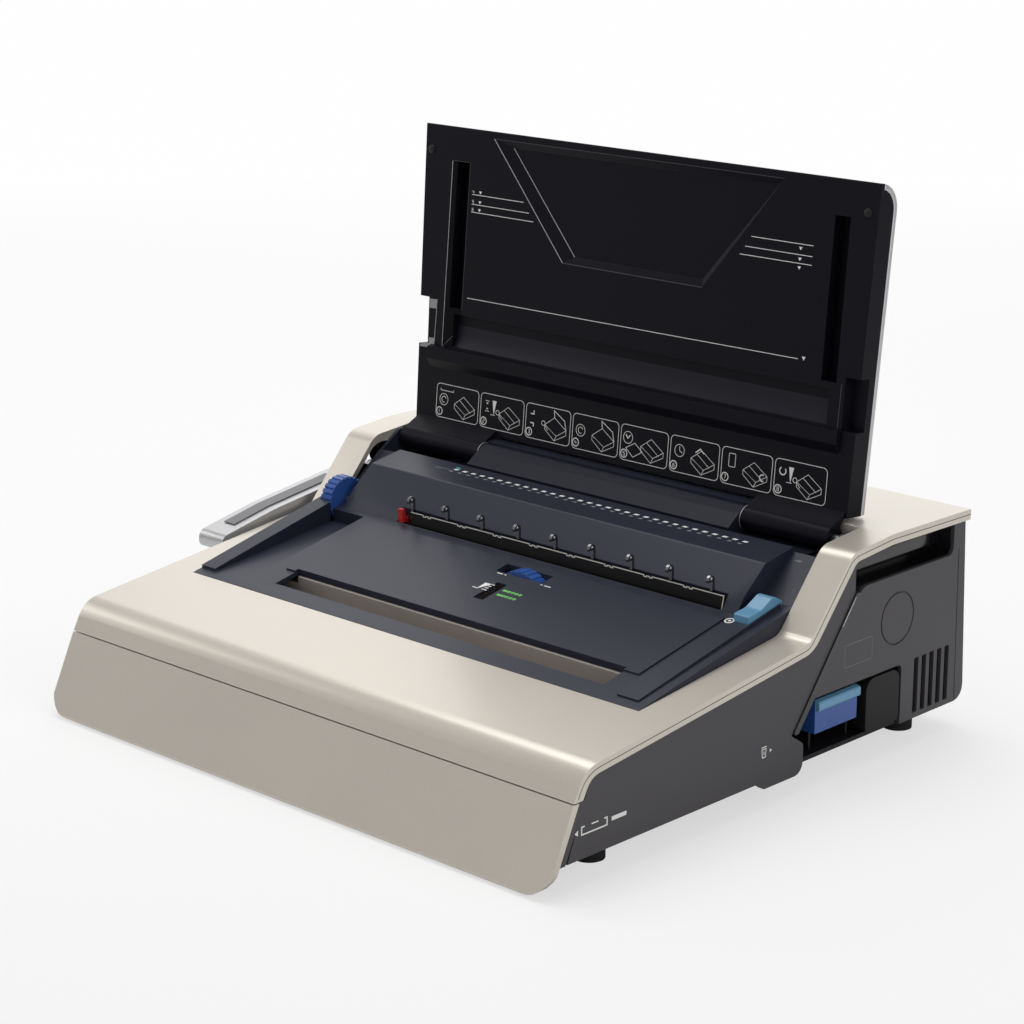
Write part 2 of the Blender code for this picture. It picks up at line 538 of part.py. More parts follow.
def make_rear_panel():
    top_y = REAR_Y - COVER_SHEET
    line = rounded(
        [(top_y, REAR_TOP_Z - COVER_SHEET - SEAT_GAP), (REAR_LOW_Y, REAR_LOW_Z),
         (REAR_LOW_Y - 2 * REAR_CORNER_RADIUS, REAR_LOW_Z)],
        [0, REAR_CORNER_RADIUS, 0],
    )
    wide = PANEL_IN - SEAT_GAP
    panel = make("rear_panel", prism(sheet_outline(line, REAR_SHEET), -wide, wide), "dark_shell")
    near, far = REAR_Y - REAR_CORNER_RADIUS, REAR_LOW_Y + OVERRUN
    cut(panel, block((INLET_X - INLET_WIDTH / 2, near, INLET_Z - INLET_HEIGHT / 2),
                     (INLET_X + INLET_WIDTH / 2, far, INLET_Z + INLET_HEIGHT / 2)))
    cut(panel, block((ROCKER_X - ROCKER_WIDTH / 2, near, INLET_Z - ROCKER_HEIGHT / 2),
                     (ROCKER_X + ROCKER_WIDTH / 2, far, INLET_Z + ROCKER_HEIGHT / 2)))


def make_base():
    wide = PANEL_IN - SEAT_GAP
    rear = REAR_LOW_Y - 2 * REAR_CORNER_RADIUS - SEAT_GAP
    base = make("base_pan", block((-wide, BASE_FRONT_Y, BASE_Z), (wide, rear, BASE_TOP)), "grey_plastic")
    top = CHIP_LOW_Z - SEAT_GAP
    runners = []
    for y in (CHIP_FRONT_Y + CHIP_WALL, CHIP_REAR_Y - 2 * CHIP_WALL):
        runners.append(
            ((CHIP_LEFT_X, y, BASE_Z + BASE_SHEET / 2), (CHIP_RIGHT_X - OVERRUN, y + CHIP_WALL, top))
        )
    fuse(base, blocks(runners))
    return base


def make_pads():
    for name, x, y in (
        ("foot_front_left", -HALF + PAD_SIDE_INSET, PAD_FRONT_Y),
        ("foot_front_right", HALF - PAD_SIDE_INSET, PAD_FRONT_Y),
        ("foot_rear_left", -HALF + PAD_SIDE_INSET, PAD_REAR_Y),
        ("foot_rear_right", HALF - PAD_SIDE_INSET, PAD_REAR_Y),
    ):
        make(name, rod("z", x, y, PAD_RADIUS, DESK_Z, BASE_Z - SEAT_GAP), "rubber")


def make_side_block():
    outline = rounded(
        [(BLOCK_FRONT_Y, BASE_TOP + SEAT_GAP), (BLOCK_REAR_Y, BASE_TOP + SEAT_GAP),
            (BLOCK_REAR_Y, BLOCK_HIGH_Z),
         (BLOCK_FRONT_Y, BLOCK_HIGH_Z)],
        [BLOCK_RADIUS / 2, BLOCK_RADIUS / 2, BLOCK_RADIUS, BLOCK_RADIUS],
    )
    make("side_block", prism(outline, BLOCK_LEFT_X, PANEL_OUT - SEAT_GAP), "gloss_black")


def drawer_y(z, depth=0):
    """Where the drawer's face, or the plane that lies depth behind it, is at that height."""
    rise, run = SEAM_Z - DRAWER_LIP_Z, SEAM_Y - DRAWER_LIP_Y
    return DRAWER_LIP_Y + run * (z - DRAWER_LIP_Z) / rise + depth * math.hypot(rise, run) / rise


def drawer_slab(near, far, low, high):
    """The drawer's side view between two depths behind its face."""
    return [
        (drawer_y(low, near), low), (drawer_y(high, near), high), (drawer_y(high, far), high),
        (drawer_y(low, far), low)
    ]


def make_drawer():
    top = SEAM_Z - DRAWER_TOP_GAP
    face = rounded(
        drawer_slab(0, DRAWER_SHEET, DRAWER_LIP_Z, top), [DRAWER_LIP_ROUND, 0, 0, DRAWER_LIP_ROUND]
    )
    front = make("drawer_front", prism(face, -HALF, HALF), "champagne")
    frame = rounded(
        [(-HALF - OVERRUN, top + OVERRUN), (-HALF, DRAWER_LIP_Z), (HALF, DRAWER_LIP_Z),
            (HALF + OVERRUN, top + OVERRUN)],
        [0, DRAWER_CORNER, DRAWER_CORNER, 0], 6,
    )
    near, far = DRAWER_LIP_Y - OVERRUN, SEAM_Y + DRAWER_SHEET + OVERRUN
    boolean(front, prism(frame, near, far, "y"), "INTERSECT")
    near = DRAWER_SHEET + SEAT_GAP
    wide = HALF - DRAWER_BACK_INSET
    back = drawer_slab(near, near + DRAWER_BACK_SHEET, PANEL_BOTTOM_Z, top)
    tray = make("storage_tray", prism(back, -wide, wide), "dark_shell")
    half = TRAY_WIDTH / 2
    tray_front = drawer_y(TRAY_HIGH_Z, near) + TRAY_WALL / 2
    fuse(tray, block((-half, tray_front, TRAY_LOW_Z), (half, TRAY_REAR_Y, TRAY_HIGH_Z)))
    room = (TRAY_WIDTH - TRAY_WALL) / TRAY_RIB_COUNT - TRAY_WALL
    rooms = []
    for i in range(TRAY_RIB_COUNT):
        x = -half + TRAY_WALL + i * (room + TRAY_WALL)
        rooms.append(((x, tray_front + 2 * TRAY_WALL, TRAY_LOW_Z + TRAY_WALL),
                      (x + room, TRAY_REAR_Y - TRAY_WALL, TRAY_HIGH_Z + OVERRUN)))
    cut(tray, blocks(rooms))


def side_line():
    """The deck's top beside the riser, from the front edge to the rear one."""
    front = RECESS_FRONT_Y + SEAT_GAP
    return [
        (front, deck_z(front)), (SLOT_FRONT_Y, SLOT_FRONT_Z), (POCKET_Y, POCKET_Z),
        (STRIP_REAR_Y, STRIP_REAR_Z - DECK_SHEET),
    ]


def riser_line():
    """The wire slot's slope, the riser, its ridge and the strip with the hole marks."""
    corners = [
        (SLOT_FRONT_Y, SLOT_FRONT_Z), (SLOT_REAR_Y, SLOT_REAR_Z), (RIDGE_Y, RIDGE_Z),
        (STRIP_REAR_Y, STRIP_REAR_Z)
    ]
    return rounded(corners, [0, 0, RIDGE_RADIUS, 0])


def make_deck():
    line, riser = side_line(), riser_line()
    deck = make("deck", prism(sheet_outline(line, DECK_SHEET), -DECK_HALF, DECK_HALF), "deck_navy")
    add_riser(deck, riser)
    add_rails(deck)
    cut_channel(deck)
    add_plate(deck)
    low, high = POCKET_Z - 2 * KNOB_RADIUS, RIDGE_Z + OVERRUN
    slots = [
        ((THROAT_LEFT_X, THROAT_FRONT_Y, NOSE_Z), (THROAT_RIGHT_X, THROAT_LIP_Y, high)),
        ((SLOT_LEFT_X, SLOT_FRONT_Y + SEAT_GAP, low), (SLOT_RIGHT_X, SLOT_REAR_Y, high)),
        ((WINDOW_X - WINDOW_WIDTH / 2, WINDOW_Y - WINDOW_LENGTH / 2, NOSE_Z),
         (WINDOW_X + WINDOW_WIDTH / 2, WINDOW_Y + WINDOW_LENGTH / 2, high)),
    ]
    reach = SIZE_WHEEL_RADIUS - SIZE_RIB_DEPTH
    wheel_half, wheel_run = reach, SIZE_WHEEL_WIDTH / 2 + RUN_GAP
    slots.append(((SIZE_WHEEL_X - wheel_half, SIZE_WHEEL_Y - wheel_run, NOSE_Z),
                  (SIZE_WHEEL_X + wheel_half, SIZE_WHEEL_Y + wheel_run, high)))
    slots.append(((PADDLE_LEFT_X - RUN_GAP, PADDLE_FRONT_Y - 2 * RUN_GAP, low),
                  (PADDLE_RIGHT_X + RUN_GAP, PADDLE_REAR_Y + 2 * RUN_GAP, high)))
    slots.append(((KNOB_INNER_X - KNOB_WIDTH - RUN_GAP, KNOB_Y - KNOB_RADIUS - RUN_GAP, low),
                  (KNOB_INNER_X + RUN_GAP, KNOB_Y + KNOB_RADIUS + RUN_GAP, high)))
    cut(deck, blocks(slots))
    add_deck_walls(deck, line)
    add_screw_hangers(deck)
    wall = RISER_LEFT_X + DECK_WALL
    cut(deck, rod("x", KNOB_Y, KNOB_Z, SCREW_RADIUS + SEAT_GAP, KNOB_INNER_X, wall + OVERRUN))


def add_riser(deck, riser):
    solid = [
        (SLOT_FRONT_Y, SLOT_FRONT_Z - DECK_SHEET / 2), *riser, (STRIP_REAR_Y, STRIP_REAR_Z - 2 * DECK_SHEET),
        (POCKET_Y, POCKET_Z - DECK_SHEET / 2),
    ]
    fuse(deck, prism(solid, RISER_LEFT_X, RISER_RIGHT_X))
    inner = offset_line(stretched(riser, OVERRUN), DECK_SHEET)[1:]
    floor = SLOT_FRONT_Z - DECK_SHEET - OVERRUN
    start = SLOT_FRONT_Y + DECK_SHEET
    inner = [(start, floor), (start, SLOT_FRONT_Z - DECK_SHEET / 2), *inner, (inner[-1][0], floor)]
    cut(deck, prism(inner, RISER_LEFT_X + DECK_WALL, RISER_RIGHT_X - DECK_WALL))


def rail_outline(front_rise, rear_rise):
    """A rail's side view, rising along the deck and running into the riser."""
    start = (RAIL_FRONT_Y, deck_z(RAIL_FRONT_Y) + front_rise)
    end = (SLOT_FRONT_Y, SLOT_FRONT_Z + rear_rise)
    sink = DECK_SHEET / 2
    return [
        (RAIL_FRONT_Y, deck_z(RAIL_FRONT_Y) - sink), (SLOT_FRONT_Y, SLOT_FRONT_Z - sink),
        (RAIL_REAR_Y, POCKET_Z - sink),
        (RAIL_REAR_Y, along(start, end, RAIL_REAR_Y)), start,
    ]


def add_rails(deck):
    left = prism(
        rail_outline(LEFT_RAIL_FRONT_RISE, LEFT_RAIL_REAR_RISE), -DECK_HALF,
        -DECK_HALF + LEFT_RAIL_WIDTH
    )
    right = prism(rail_outline(RIGHT_RAIL_RISE / 2, RIGHT_RAIL_RISE), RIGHT_RAIL_INNER_X, RIGHT_RAIL_OUTER_X)
    fuse(deck, left, right)


def cut_channel(deck):
    """The sloping channel between the left rail and the plate, with its own floor below the deck."""
    outer, inner = -DECK_HALF + LEFT_RAIL_WIDTH, CHANNEL_INNER_X
    front, rear = RAIL_FRONT_Y, CHANNEL_REAR_Y
    front_z, rear_z = deck_z(front), deck_z(rear) - CHANNEL_DEPTH
    shell = [
        (front, front_z - DECK_SHEET / 2), (front, front_z - DECK_SHEET - RUN_GAP),
        (rear, rear_z - DECK_SHEET),
        (rear + DECK_SHEET, rear_z - DECK_SHEET), (rear + DECK_SHEET, deck_z(rear) - RUN_GAP),
    ]
    fuse(deck, prism(shell, outer - DECK_WALL, inner + DECK_WALL))
    room = [(front, front_z), (rear, rear_z), (rear, deck_z(rear) + OVERRUN), (front, front_z + OVERRUN)]
    cut(deck, prism(room, outer, inner))


def add_plate(deck):
    """The gently raised plate behind the throat, its front edge overhanging like a lip."""
    start, end = THROAT_LIP_Y - DECK_SHEET, PLATE_REAR_Y
    top = [(start, deck_z(start) + PLATE_PROUD), (end, deck_z(end) + PLATE_PROUD)]
    low = [(end, deck_z(end) - DECK_SHEET / 2), (start, deck_z(start) - DECK_SHEET / 2)]
    fuse(deck, prism(rounded(top + low, [0, PLATE_PROUD, 0, 0]), PLATE_LEFT_X, PLATE_RIGHT_X))


def add_deck_walls(deck, line):
    """Upright side walls down to the cover, which also hold the outer ends of the hinge pins."""
    rear = RECESS_REAR_Y - SEAT_GAP
    top = HINGE_Z + 2 * PIN_RADIUS
    front = line[0]
    outline = [
        (front[0], front[1] - DECK_SHEET), front, *line[1:], (HINGE_Y - 2 * PIN_RADIUS, top), (rear, top),
        (rear, SLOT_FRONT_Z), (KINK_Y, cover_z(KINK_Y) - DECK_SIDE_DROP),
        (RAIL_FRONT_Y, cover_z(RAIL_FRONT_Y) - DECK_SHEET - TRIM_PROUD),
    ]
    bore = PIN_RADIUS + SEAT_GAP
    for sign in (-1, 1):
        near, far = sorted((sign * (DECK_HALF - DECK_WALL), sign * (DECK_HALF - WALL_MARGIN)))
        fuse(deck, prism(outline, near, far))
        cut(
            deck, rod("x", HINGE_Y, HINGE_Z, bore, sign * DECK_HALF - OVERRUN,
                sign * DECK_HALF + OVERRUN, 16)
        )


def add_screw_hangers(deck):
    """Two plates under the deck that carry the size wheel's screw."""
    low = SIZE_WHEEL_Z - 2 * SIZE_SCREW_RADIUS
    half = 2 * SIZE_SCREW_RADIUS
    for y in (SIZE_SCREW_FRONT_Y + DECK_SHEET, SIZE_WHEEL_Y + SIZE_WHEEL_WIDTH / 2 + DECK_SHEET):
        top = deck_z(y) - DECK_SHEET / 2
        fuse(deck, block((SIZE_WHEEL_X - half, y, low), (SIZE_WHEEL_X + half, y + DECK_WALL, top)))
        cut(
            deck, rod("y", SIZE_WHEEL_X, SIZE_WHEEL_Z, SIZE_SCREW_RADIUS + SEAT_GAP, y - RUN_GAP,
                y + DECK_WALL + RUN_GAP, 16)
        )


def make_window():
    front, rear = WINDOW_Y - WINDOW_LENGTH / 2 + SEAT_GAP, WINDOW_Y + WINDOW_LENGTH / 2 - SEAT_GAP
    outline = [(front, deck_z(front)), (rear, deck_z(rear)), (rear, deck_z(rear) - DECK_SHEET / 2),
               (front, deck_z(front) - DECK_SHEET / 2)]
    half = WINDOW_WIDTH / 2 - SEAT_GAP
    make("size_window", prism(outline, WINDOW_X - half, WINDOW_X + half), "clear_window")


def make_hinge_bar():
    front, rear = STRIPPER_FRONT_Y, RECESS_REAR_Y - SEAT_GAP
    low = HINGE_Z - BARREL_RADIUS - RUN_GAP - DECK_SHEET
    outline = rounded(
        [(front, low), (rear, low), (rear, HINGE_Z + BARREL_RADIUS / 2), (HINGE_Y, HINGE_Z + BARREL_RADIUS),
         (HINGE_Y - BARREL_RADIUS, HINGE_Z + BARREL_RADIUS / 2), (front, STRIP_REAR_Z)],
        [0, 0, BARREL_RADIUS / 2, BARREL_RADIUS / 2, BARREL_RADIUS / 2, 0],
    )
    half = BARREL_INNER_X - RUN_GAP
    bar = make("hinge_bar", prism(outline, -half, half), "deck_navy")
    bridge = block((FRAME_LEFT_X - FRAME_THICK, front + DECK_SHEET, low + SEAT_GAP / 3),
                   (FRAME_RIGHT_X + FRAME_THICK, rear - DECK_SHEET, low + DECK_SHEET))
    fuse(bar, bridge)
    for sign in (-1, 1):
        near, far = sorted((sign * (half - 2 * DECK_SHEET), sign * (half + OVERRUN)))
        cut(bar, rod("x", HINGE_Y, HINGE_Z, PIN_RADIUS + SEAT_GAP, near, far, 16))


def make_hinge_pins():
    for name, sign in (("hinge_pin_left", -1), ("hinge_pin_right", 1)):
        near, far = sorted((sign * (BARREL_INNER_X - DECK_SHEET), sign * (DECK_HALF - SEAT_GAP)))
        make(name, rod("x", HINGE_Y, HINGE_Z, PIN_RADIUS, near, far, 16), "steel")


def tilt(bm):
    """From the lid's own axes, with its depth along Y and its height along Z, to its leaning place."""
    bmesh.ops.rotate(bm, verts=bm.verts, matrix=Matrix.Rotation(-LID_LEAN, 3, "X"))
    bmesh.ops.translate(bm, verts=bm.verts, vec=(0, LID_BASE_Y, LID_BASE_Z))
    return bm


def lid_slab(profile):
    """A slice of the lid with that side view, its ends following the lid's slanting sides."""
    bm = prism(profile, LID_LEFT_LOW_X, LID_RIGHT_LOW_X)
    for vert in bm.verts:
        left = vert.co.x < 0
        low, high = (LID_LEFT_LOW_X, LID_LEFT_TOP_X) if left else (LID_RIGHT_LOW_X, LID_RIGHT_TOP_X)
        vert.co.x += (high - low) * vert.co.z / LID_HEIGHT
    return tilt(bm)


def lid_arc(radius, start, end, steps=6):
    """Points round the lid's top rear corner, from one angle above the rear to another."""
    depth, height = LID_DEPTH - LID_ROUND, LID_HEIGHT - LID_ROUND
    turns = [start + (end - start) * i / steps for i in range(steps + 1)]
    return [(depth + radius * math.cos(turn), height + radius * math.sin(turn)) for turn in turns]


def lid_profiles():
    """The side views of the lid's inner moulding and of the skin behind it."""
    edge = math.acos(LID_SKIN_EDGE / LID_ROUND)
    inside = LID_ROUND - LID_SKIN
    skin = [
        (LID_DEPTH, 0), *lid_arc(LID_ROUND, 0, edge), *lid_arc(inside, edge, 0),
        (LID_DEPTH - LID_SKIN, 0)
    ]
    step = edge + SEAT_GAP / inside
    core = inside - SEAT_GAP
    depth = LID_DEPTH - LID_ROUND + core
    inner = [
        (0, 0), (depth, 0), *lid_arc(core, 0, step), *lid_arc(LID_ROUND, step, math.pi / 2, 1),
        (0, LID_HEIGHT)
    ]
    return inner, skin


def make_lid():
    pivot = (0, HINGE_Y, HINGE_Z)
    inner_profile, skin_profile = lid_profiles()
    make("lid_skin", lid_slab(skin_profile), "silver", pivot)
    inner = make("lid_inner", lid_slab(inner_profile), "lid_black", pivot)
    side_room = LID_SLOT_X - LID_SLOT_WIDTH / 2 - LID_CAVITY_WALL
    face = LID_CHANNEL_DEPTH + LID_CAVITY_WALL / 2
    cavity = block((-side_room, face, LID_CAVITY_WALL), (side_room, LID_DEPTH, LID_HEIGHT - LID_ROUND))
    cut(inner, tilt(cavity))
    left, right = LID_LEFT_LOW_X + NOTCH_WIDTH, LID_RIGHT_LOW_X - NOTCH_WIDTH
    sink = LID_CAVITY_WALL / 4
    ledge = [
        (sink, LEDGE_LOW), (-LEDGE_PROUD, LEDGE_LOW + LEDGE_BEVEL), (-LEDGE_PROUD, LEDGE_HIGH),
        (sink, LEDGE_HIGH + sink)
    ]
    fuse(inner, tilt(prism(ledge, left, right)))
    half = LID_CHANNEL_WIDTH / 2
    cuts = [((-half, -OVERRUN, LEDGE_HIGH + 2 * sink), (half, LID_CHANNEL_DEPTH, LID_CHANNEL_HIGH))]
    half = LID_SLOT_WIDTH / 2
    for x in (-LID_SLOT_X, LID_SLOT_X):
        cuts.append(((x - half, -OVERRUN, LID_SLOT_LOW), (x + half, LID_SLOT_DEPTH, LID_SLOT_HIGH)))
    for near, far in ((left - 3 * NOTCH_WIDTH, left), (right, right + 3 * NOTCH_WIDTH)):
        cuts.append(((near, -OVERRUN, NOTCH_LOW), (far, NOTCH_DEPTH, NOTCH_HIGH)))
    cut(inner, tilt(blocks(cuts)))
    fan = [
        (FAN_LOW_LEFT_X, FAN_LOW), (FAN_LOW_RIGHT_X, FAN_LOW), (FAN_TOP_RIGHT_X, FAN_TOP),
        (FAN_TOP_LEFT_X, FAN_TOP)
    ]
    cut(inner, tilt(prism(fan, -OVERRUN, FAN_DEPTH, "y")))
    add_barrels(inner)


def add_barrels(inner):
    """The two hinge barrels, each on an arm under the lid."""
    arm = [
        (HINGE_Y, HINGE_Z), (HINGE_Y + BARREL_RADIUS / 2, HINGE_Z + BARREL_RADIUS / 2),
        (LID_BASE_Y, LID_BASE_Z - SEAT_GAP),
        (LID_BASE_Y + LID_SLOT_DEPTH, LID_BASE_Z),
        (LID_BASE_Y + LID_SLOT_DEPTH, LID_BASE_Z + LID_CAVITY_WALL),
        (LID_BASE_Y + RUN_GAP, LID_BASE_Z + LID_CAVITY_WALL),
        (HINGE_Y - BARREL_RADIUS / 4, HINGE_Z + BARREL_RADIUS - RUN_GAP),
    ]
    for near, far in ((BARREL_LEFT_X, -BARREL_INNER_X), (BARREL_INNER_X, BARREL_RIGHT_X)):
        fuse(
            inner, rod("x", HINGE_Y, HINGE_Z, BARREL_RADIUS, near, far, 28),
            prism(arm, near + RUN_GAP, far - RUN_GAP)
        )
        cut(inner, rod("x", HINGE_Y, HINGE_Z, PIN_RADIUS + RUN_GAP, near - OVERRUN, far + OVERRUN, 16))


def make_lever():
    pivot = (0, LEVER_Y, LEVER_Z)
    outline = [
        (LEVER_TIP_Y, LEVER_TIP_Z - LEVER_TIP_RADIUS),
        (LEVER_BEND_Y, LEVER_BEND_Z - LEVER_ARM_DEPTH - INLAY_PROUD),
        (LEVER_Y, LEVER_Z - LEVER_HUB_RADIUS), (LEVER_Y + LEVER_HUB_RADIUS, LEVER_Z),
        (LEVER_Y, LEVER_Z + LEVER_HUB_RADIUS), (LEVER_Y - 2 * LEVER_HUB_RADIUS, LEVER_TOP_Z),
        (LEVER_BEND_Y, LEVER_BEND_Z), (LEVER_TIP_Y, LEVER_TIP_Z + LEVER_TIP_RADIUS / 2),
    ]
    tip, hub = LEVER_TIP_RADIUS, LEVER_HUB_RADIUS
    outline = rounded(outline, [LEVER_LOW_CORNER, 4 * hub, hub, hub, hub, 2 * hub, 2 * hub, LEVER_TOP_CORNER])
    arm = make("lever_arm", prism(outline, LEVER_OUTER_X, LEVER_INNER_X), "silver", pivot)
    fuse(arm, rod("x", LEVER_Y, LEVER_Z, LEVER_BOSS_RADIUS, LEVER_INNER_X - OVERRUN, -PANEL_OUT - RUN_GAP))
    cut(arm, rod("x", LEVER_Y, LEVER_Z, SHAFT_RADIUS + SEAT_GAP, LEVER_OUTER_X + OVERRUN, -PANEL_IN, 20))
    top = [(LEVER_TIP_Y + 2 * tip, 0), (LEVER_BEND_Y, LEVER_BEND_Z), (LEVER_Y - 2 * hub, LEVER_TOP_Z)]
    top[0] = (top[0][0], along((LEVER_TIP_Y, LEVER_TIP_Z + tip / 2), (LEVER_BEND_Y, LEVER_BEND_Z), top[0][0]))
    top[2] = (top[2][0] - hub, along(top[1], top[2], top[2][0] - hub))
    line = rounded(top, [0, 2 * hub, 0])
    strip = offset_line(line, -SEAT_GAP) + offset_line(line, -SEAT_GAP - INLAY_PROUD)[::-1]
    middle = (LEVER_OUTER_X + LEVER_INNER_X) / 2
    make(
        "lever_inlay", prism(strip, middle - INLAY_WIDTH / 2, middle + INLAY_WIDTH / 2), "grey_plastic",
        pivot
    )
    shaft = make(
        "lever_shaft", rod("x", LEVER_Y, LEVER_Z, SHAFT_RADIUS, LEVER_OUTER_X + 2 * OVERRUN,
            FRAME_RIGHT_X + FRAME_THICK, 20), "steel", pivot
    )
    pin_z = LEVER_Z - CRANK_RADIUS
    for side_x, out in ((CRANK_LEFT_X, -1), (CRANK_RIGHT_X, 1)):
        web = rounded(
            [(LEVER_Y - hub / 2, LEVER_Z),
                (LEVER_Y - CRANK_PIN_RADIUS - TRIM_PROUD, pin_z - 2 * CRANK_PIN_RADIUS),
             (LEVER_Y + CRANK_PIN_RADIUS + TRIM_PROUD, pin_z - 2 * CRANK_PIN_RADIUS),
             (LEVER_Y + hub / 2, LEVER_Z),
             (LEVER_Y, LEVER_Z + hub / 2)],
            [CRANK_PIN_RADIUS, CRANK_PIN_RADIUS, CRANK_PIN_RADIUS, CRANK_PIN_RADIUS, CRANK_PIN_RADIUS],
        )
        near, far = sorted((side_x - out * CRANK_THICK, side_x - out * RUN_GAP))
        fuse(shaft, prism(web, near, far))
        near, far = sorted((side_x - out * CRANK_THICK / 2, side_x + out * (ROD_THICK - RUN_GAP)))
        fuse(shaft, rod("x", LEVER_Y, pin_z, CRANK_PIN_RADIUS, near, far, 16))


def make_closer():
    bar_front = THROAT_LIP_Y - TRIM_PROUD
    bar_rear = bar_front + CLOSER_BAR_DEPTH
    floor = CLOSER_FLOOR_Z
    low_x, high_x = FRAME_LEFT_X + RUN_GAP, FRAME_RIGHT_X - RUN_GAP
    bar = rounded(
        [(bar_front, floor + RUN_GAP), (bar_rear, floor + RUN_GAP), (bar_rear, CLOSER_TOP_Z),
            (bar_front, CLOSER_TOP_Z)],
        [0, 0, TRIM_PROUD, TRIM_PROUD],
    )
    closing = make("closing_bar", prism(bar, low_x, high_x), "steel")
    over_arm = (bar_rear + OVERRUN, CLOSER_TOP_Z + OVERRUN)
    cut(closing, blocks([
        ((low_x - OVERRUN, bar_front - OVERRUN, CLOSER_ARM_TOP_Z), (THROAT_LEFT_X + RUN_GAP, *over_arm)),
        ((THROAT_RIGHT_X - RUN_GAP, bar_front - OVERRUN, CLOSER_ARM_TOP_Z), (high_x + OVERRUN, *over_arm)),
    ]))
    low = floor + JAW_THICK
    high = low + ROD_HEIGHT
    pin_z = LEVER_Z - CRANK_RADIUS
    start, end = bar_rear + SEAT_GAP, LEVER_Y + CRANK_PIN_RADIUS + ROD_SLOT_SIDE + ROD_THICK
    prong = LEVER_Z - SHAFT_RADIUS - RUN_GAP
    slot_low = pin_z - CRANK_PIN_RADIUS - RUN_GAP
    slot_a = LEVER_Y - CRANK_PIN_RADIUS - ROD_SLOT_SIDE
    slot_b = LEVER_Y + CRANK_PIN_RADIUS + ROD_SLOT_SIDE
    outline = [
        (start, low), (end, low), (end, prong), (slot_b, prong), (slot_b, slot_low), (slot_a, slot_low),
        (slot_a, prong),
        (slot_a - ROD_THICK, prong), (slot_a - 2 * ROD_THICK, high), (start, high),
    ]
    for name, near in (("push_rod_left", low_x), ("push_rod_right", high_x - ROD_THICK + RUN_GAP)):
        make(name, prism(outline, near, near + ROD_THICK - RUN_GAP), "steel")
    jaw_front = THROAT_FRONT_Y - JAW_THICK
    rear = bar_rear + CLOSER_BAR_DEPTH / 4
    leg_in = TRAY_WIDTH / 2 + OVERRUN
    leg_out = leg_in + 2 * JAW_THICK
    bottom, under = BASE_TOP + SEAT_GAP, floor - COVER_SHEET
    bench = [(-leg_out, bottom), (-leg_in, bottom), (-leg_in, under), (leg_in, under), (leg_in, bottom),
        (leg_out, bottom),
             (leg_out, floor), (-leg_out, floor)]
    jaw = make("closing_jaw", prism(bench, jaw_front, rear, "y"), "steel")
    fuse(
        jaw, block((THROAT_LEFT_X, jaw_front + RUN_GAP, under + TRIM_PROUD),
            (THROAT_RIGHT_X, THROAT_FRONT_Y, JAW_TOP_Z))
    )


def hole_places():
    return [PUNCH_CENTRE_X + (i - (HOLE_COUNT - 1) / 2) * PITCH for i in range(HOLE_COUNT)]


def square_bars(width, front, rear):
    half = width / 2
    return blocks(
        [((x - half, front, PUNCH_Z - half), (x + half, rear, PUNCH_Z + half)) for x in hole_places()]
    )


def make_punch():
    low_x, high_x = PUNCH_CENTRE_X - DIE_LENGTH / 2, PUNCH_CENTRE_X + DIE_LENGTH / 2
    low_z, high_z = PUNCH_Z - DIE_HEIGHT / 2, PUNCH_Z + DIE_HEIGHT / 2
    die = make("die_block", block((low_x, DIE_FRONT_Y, low_z), (high_x, DIE_REAR_Y, high_z)), "steel")
    cut(die, square_bars(HOLE_SIDE, DIE_FRONT_Y - OVERRUN, DIE_REAR_Y + OVERRUN))
    plate_rear = STRIPPER_FRONT_Y + STRIPPER_THICK
    plate = make(
        "stripper_plate", block((low_x, STRIPPER_FRONT_Y, low_z), (high_x, plate_rear, high_z)), "steel"
    )
    cut(plate, square_bars(HOLE_SIDE, STRIPPER_FRONT_Y - OVERRUN, plate_rear + OVERRUN))
    half = PUNCH_BAR_HEIGHT / 2
    bar = block(
        (low_x + RUN_GAP, PUNCH_BAR_FRONT_Y, PUNCH_Z - half),
        (high_x - RUN_GAP, PUNCH_BAR_REAR_Y, PUNCH_Z + half)
    )
    make("punch_bar", bar, "steel")
    half, rear = PIN_STRIP_HEIGHT / 2, PUNCH_BAR_FRONT_Y - SEAT_GAP
    front = rear - PIN_STRIP_THICK
    strip = block((low_x + RUN_GAP, front, PUNCH_Z - half), (high_x - RUN_GAP, rear, PUNCH_Z + half))
    pins = make("punch_pins", strip, "steel")
    fuse(pins, square_bars(PIN_SIDE, STRIPPER_FRONT_Y + STRIPPER_THICK / 2, front + PIN_STRIP_THICK / 2))


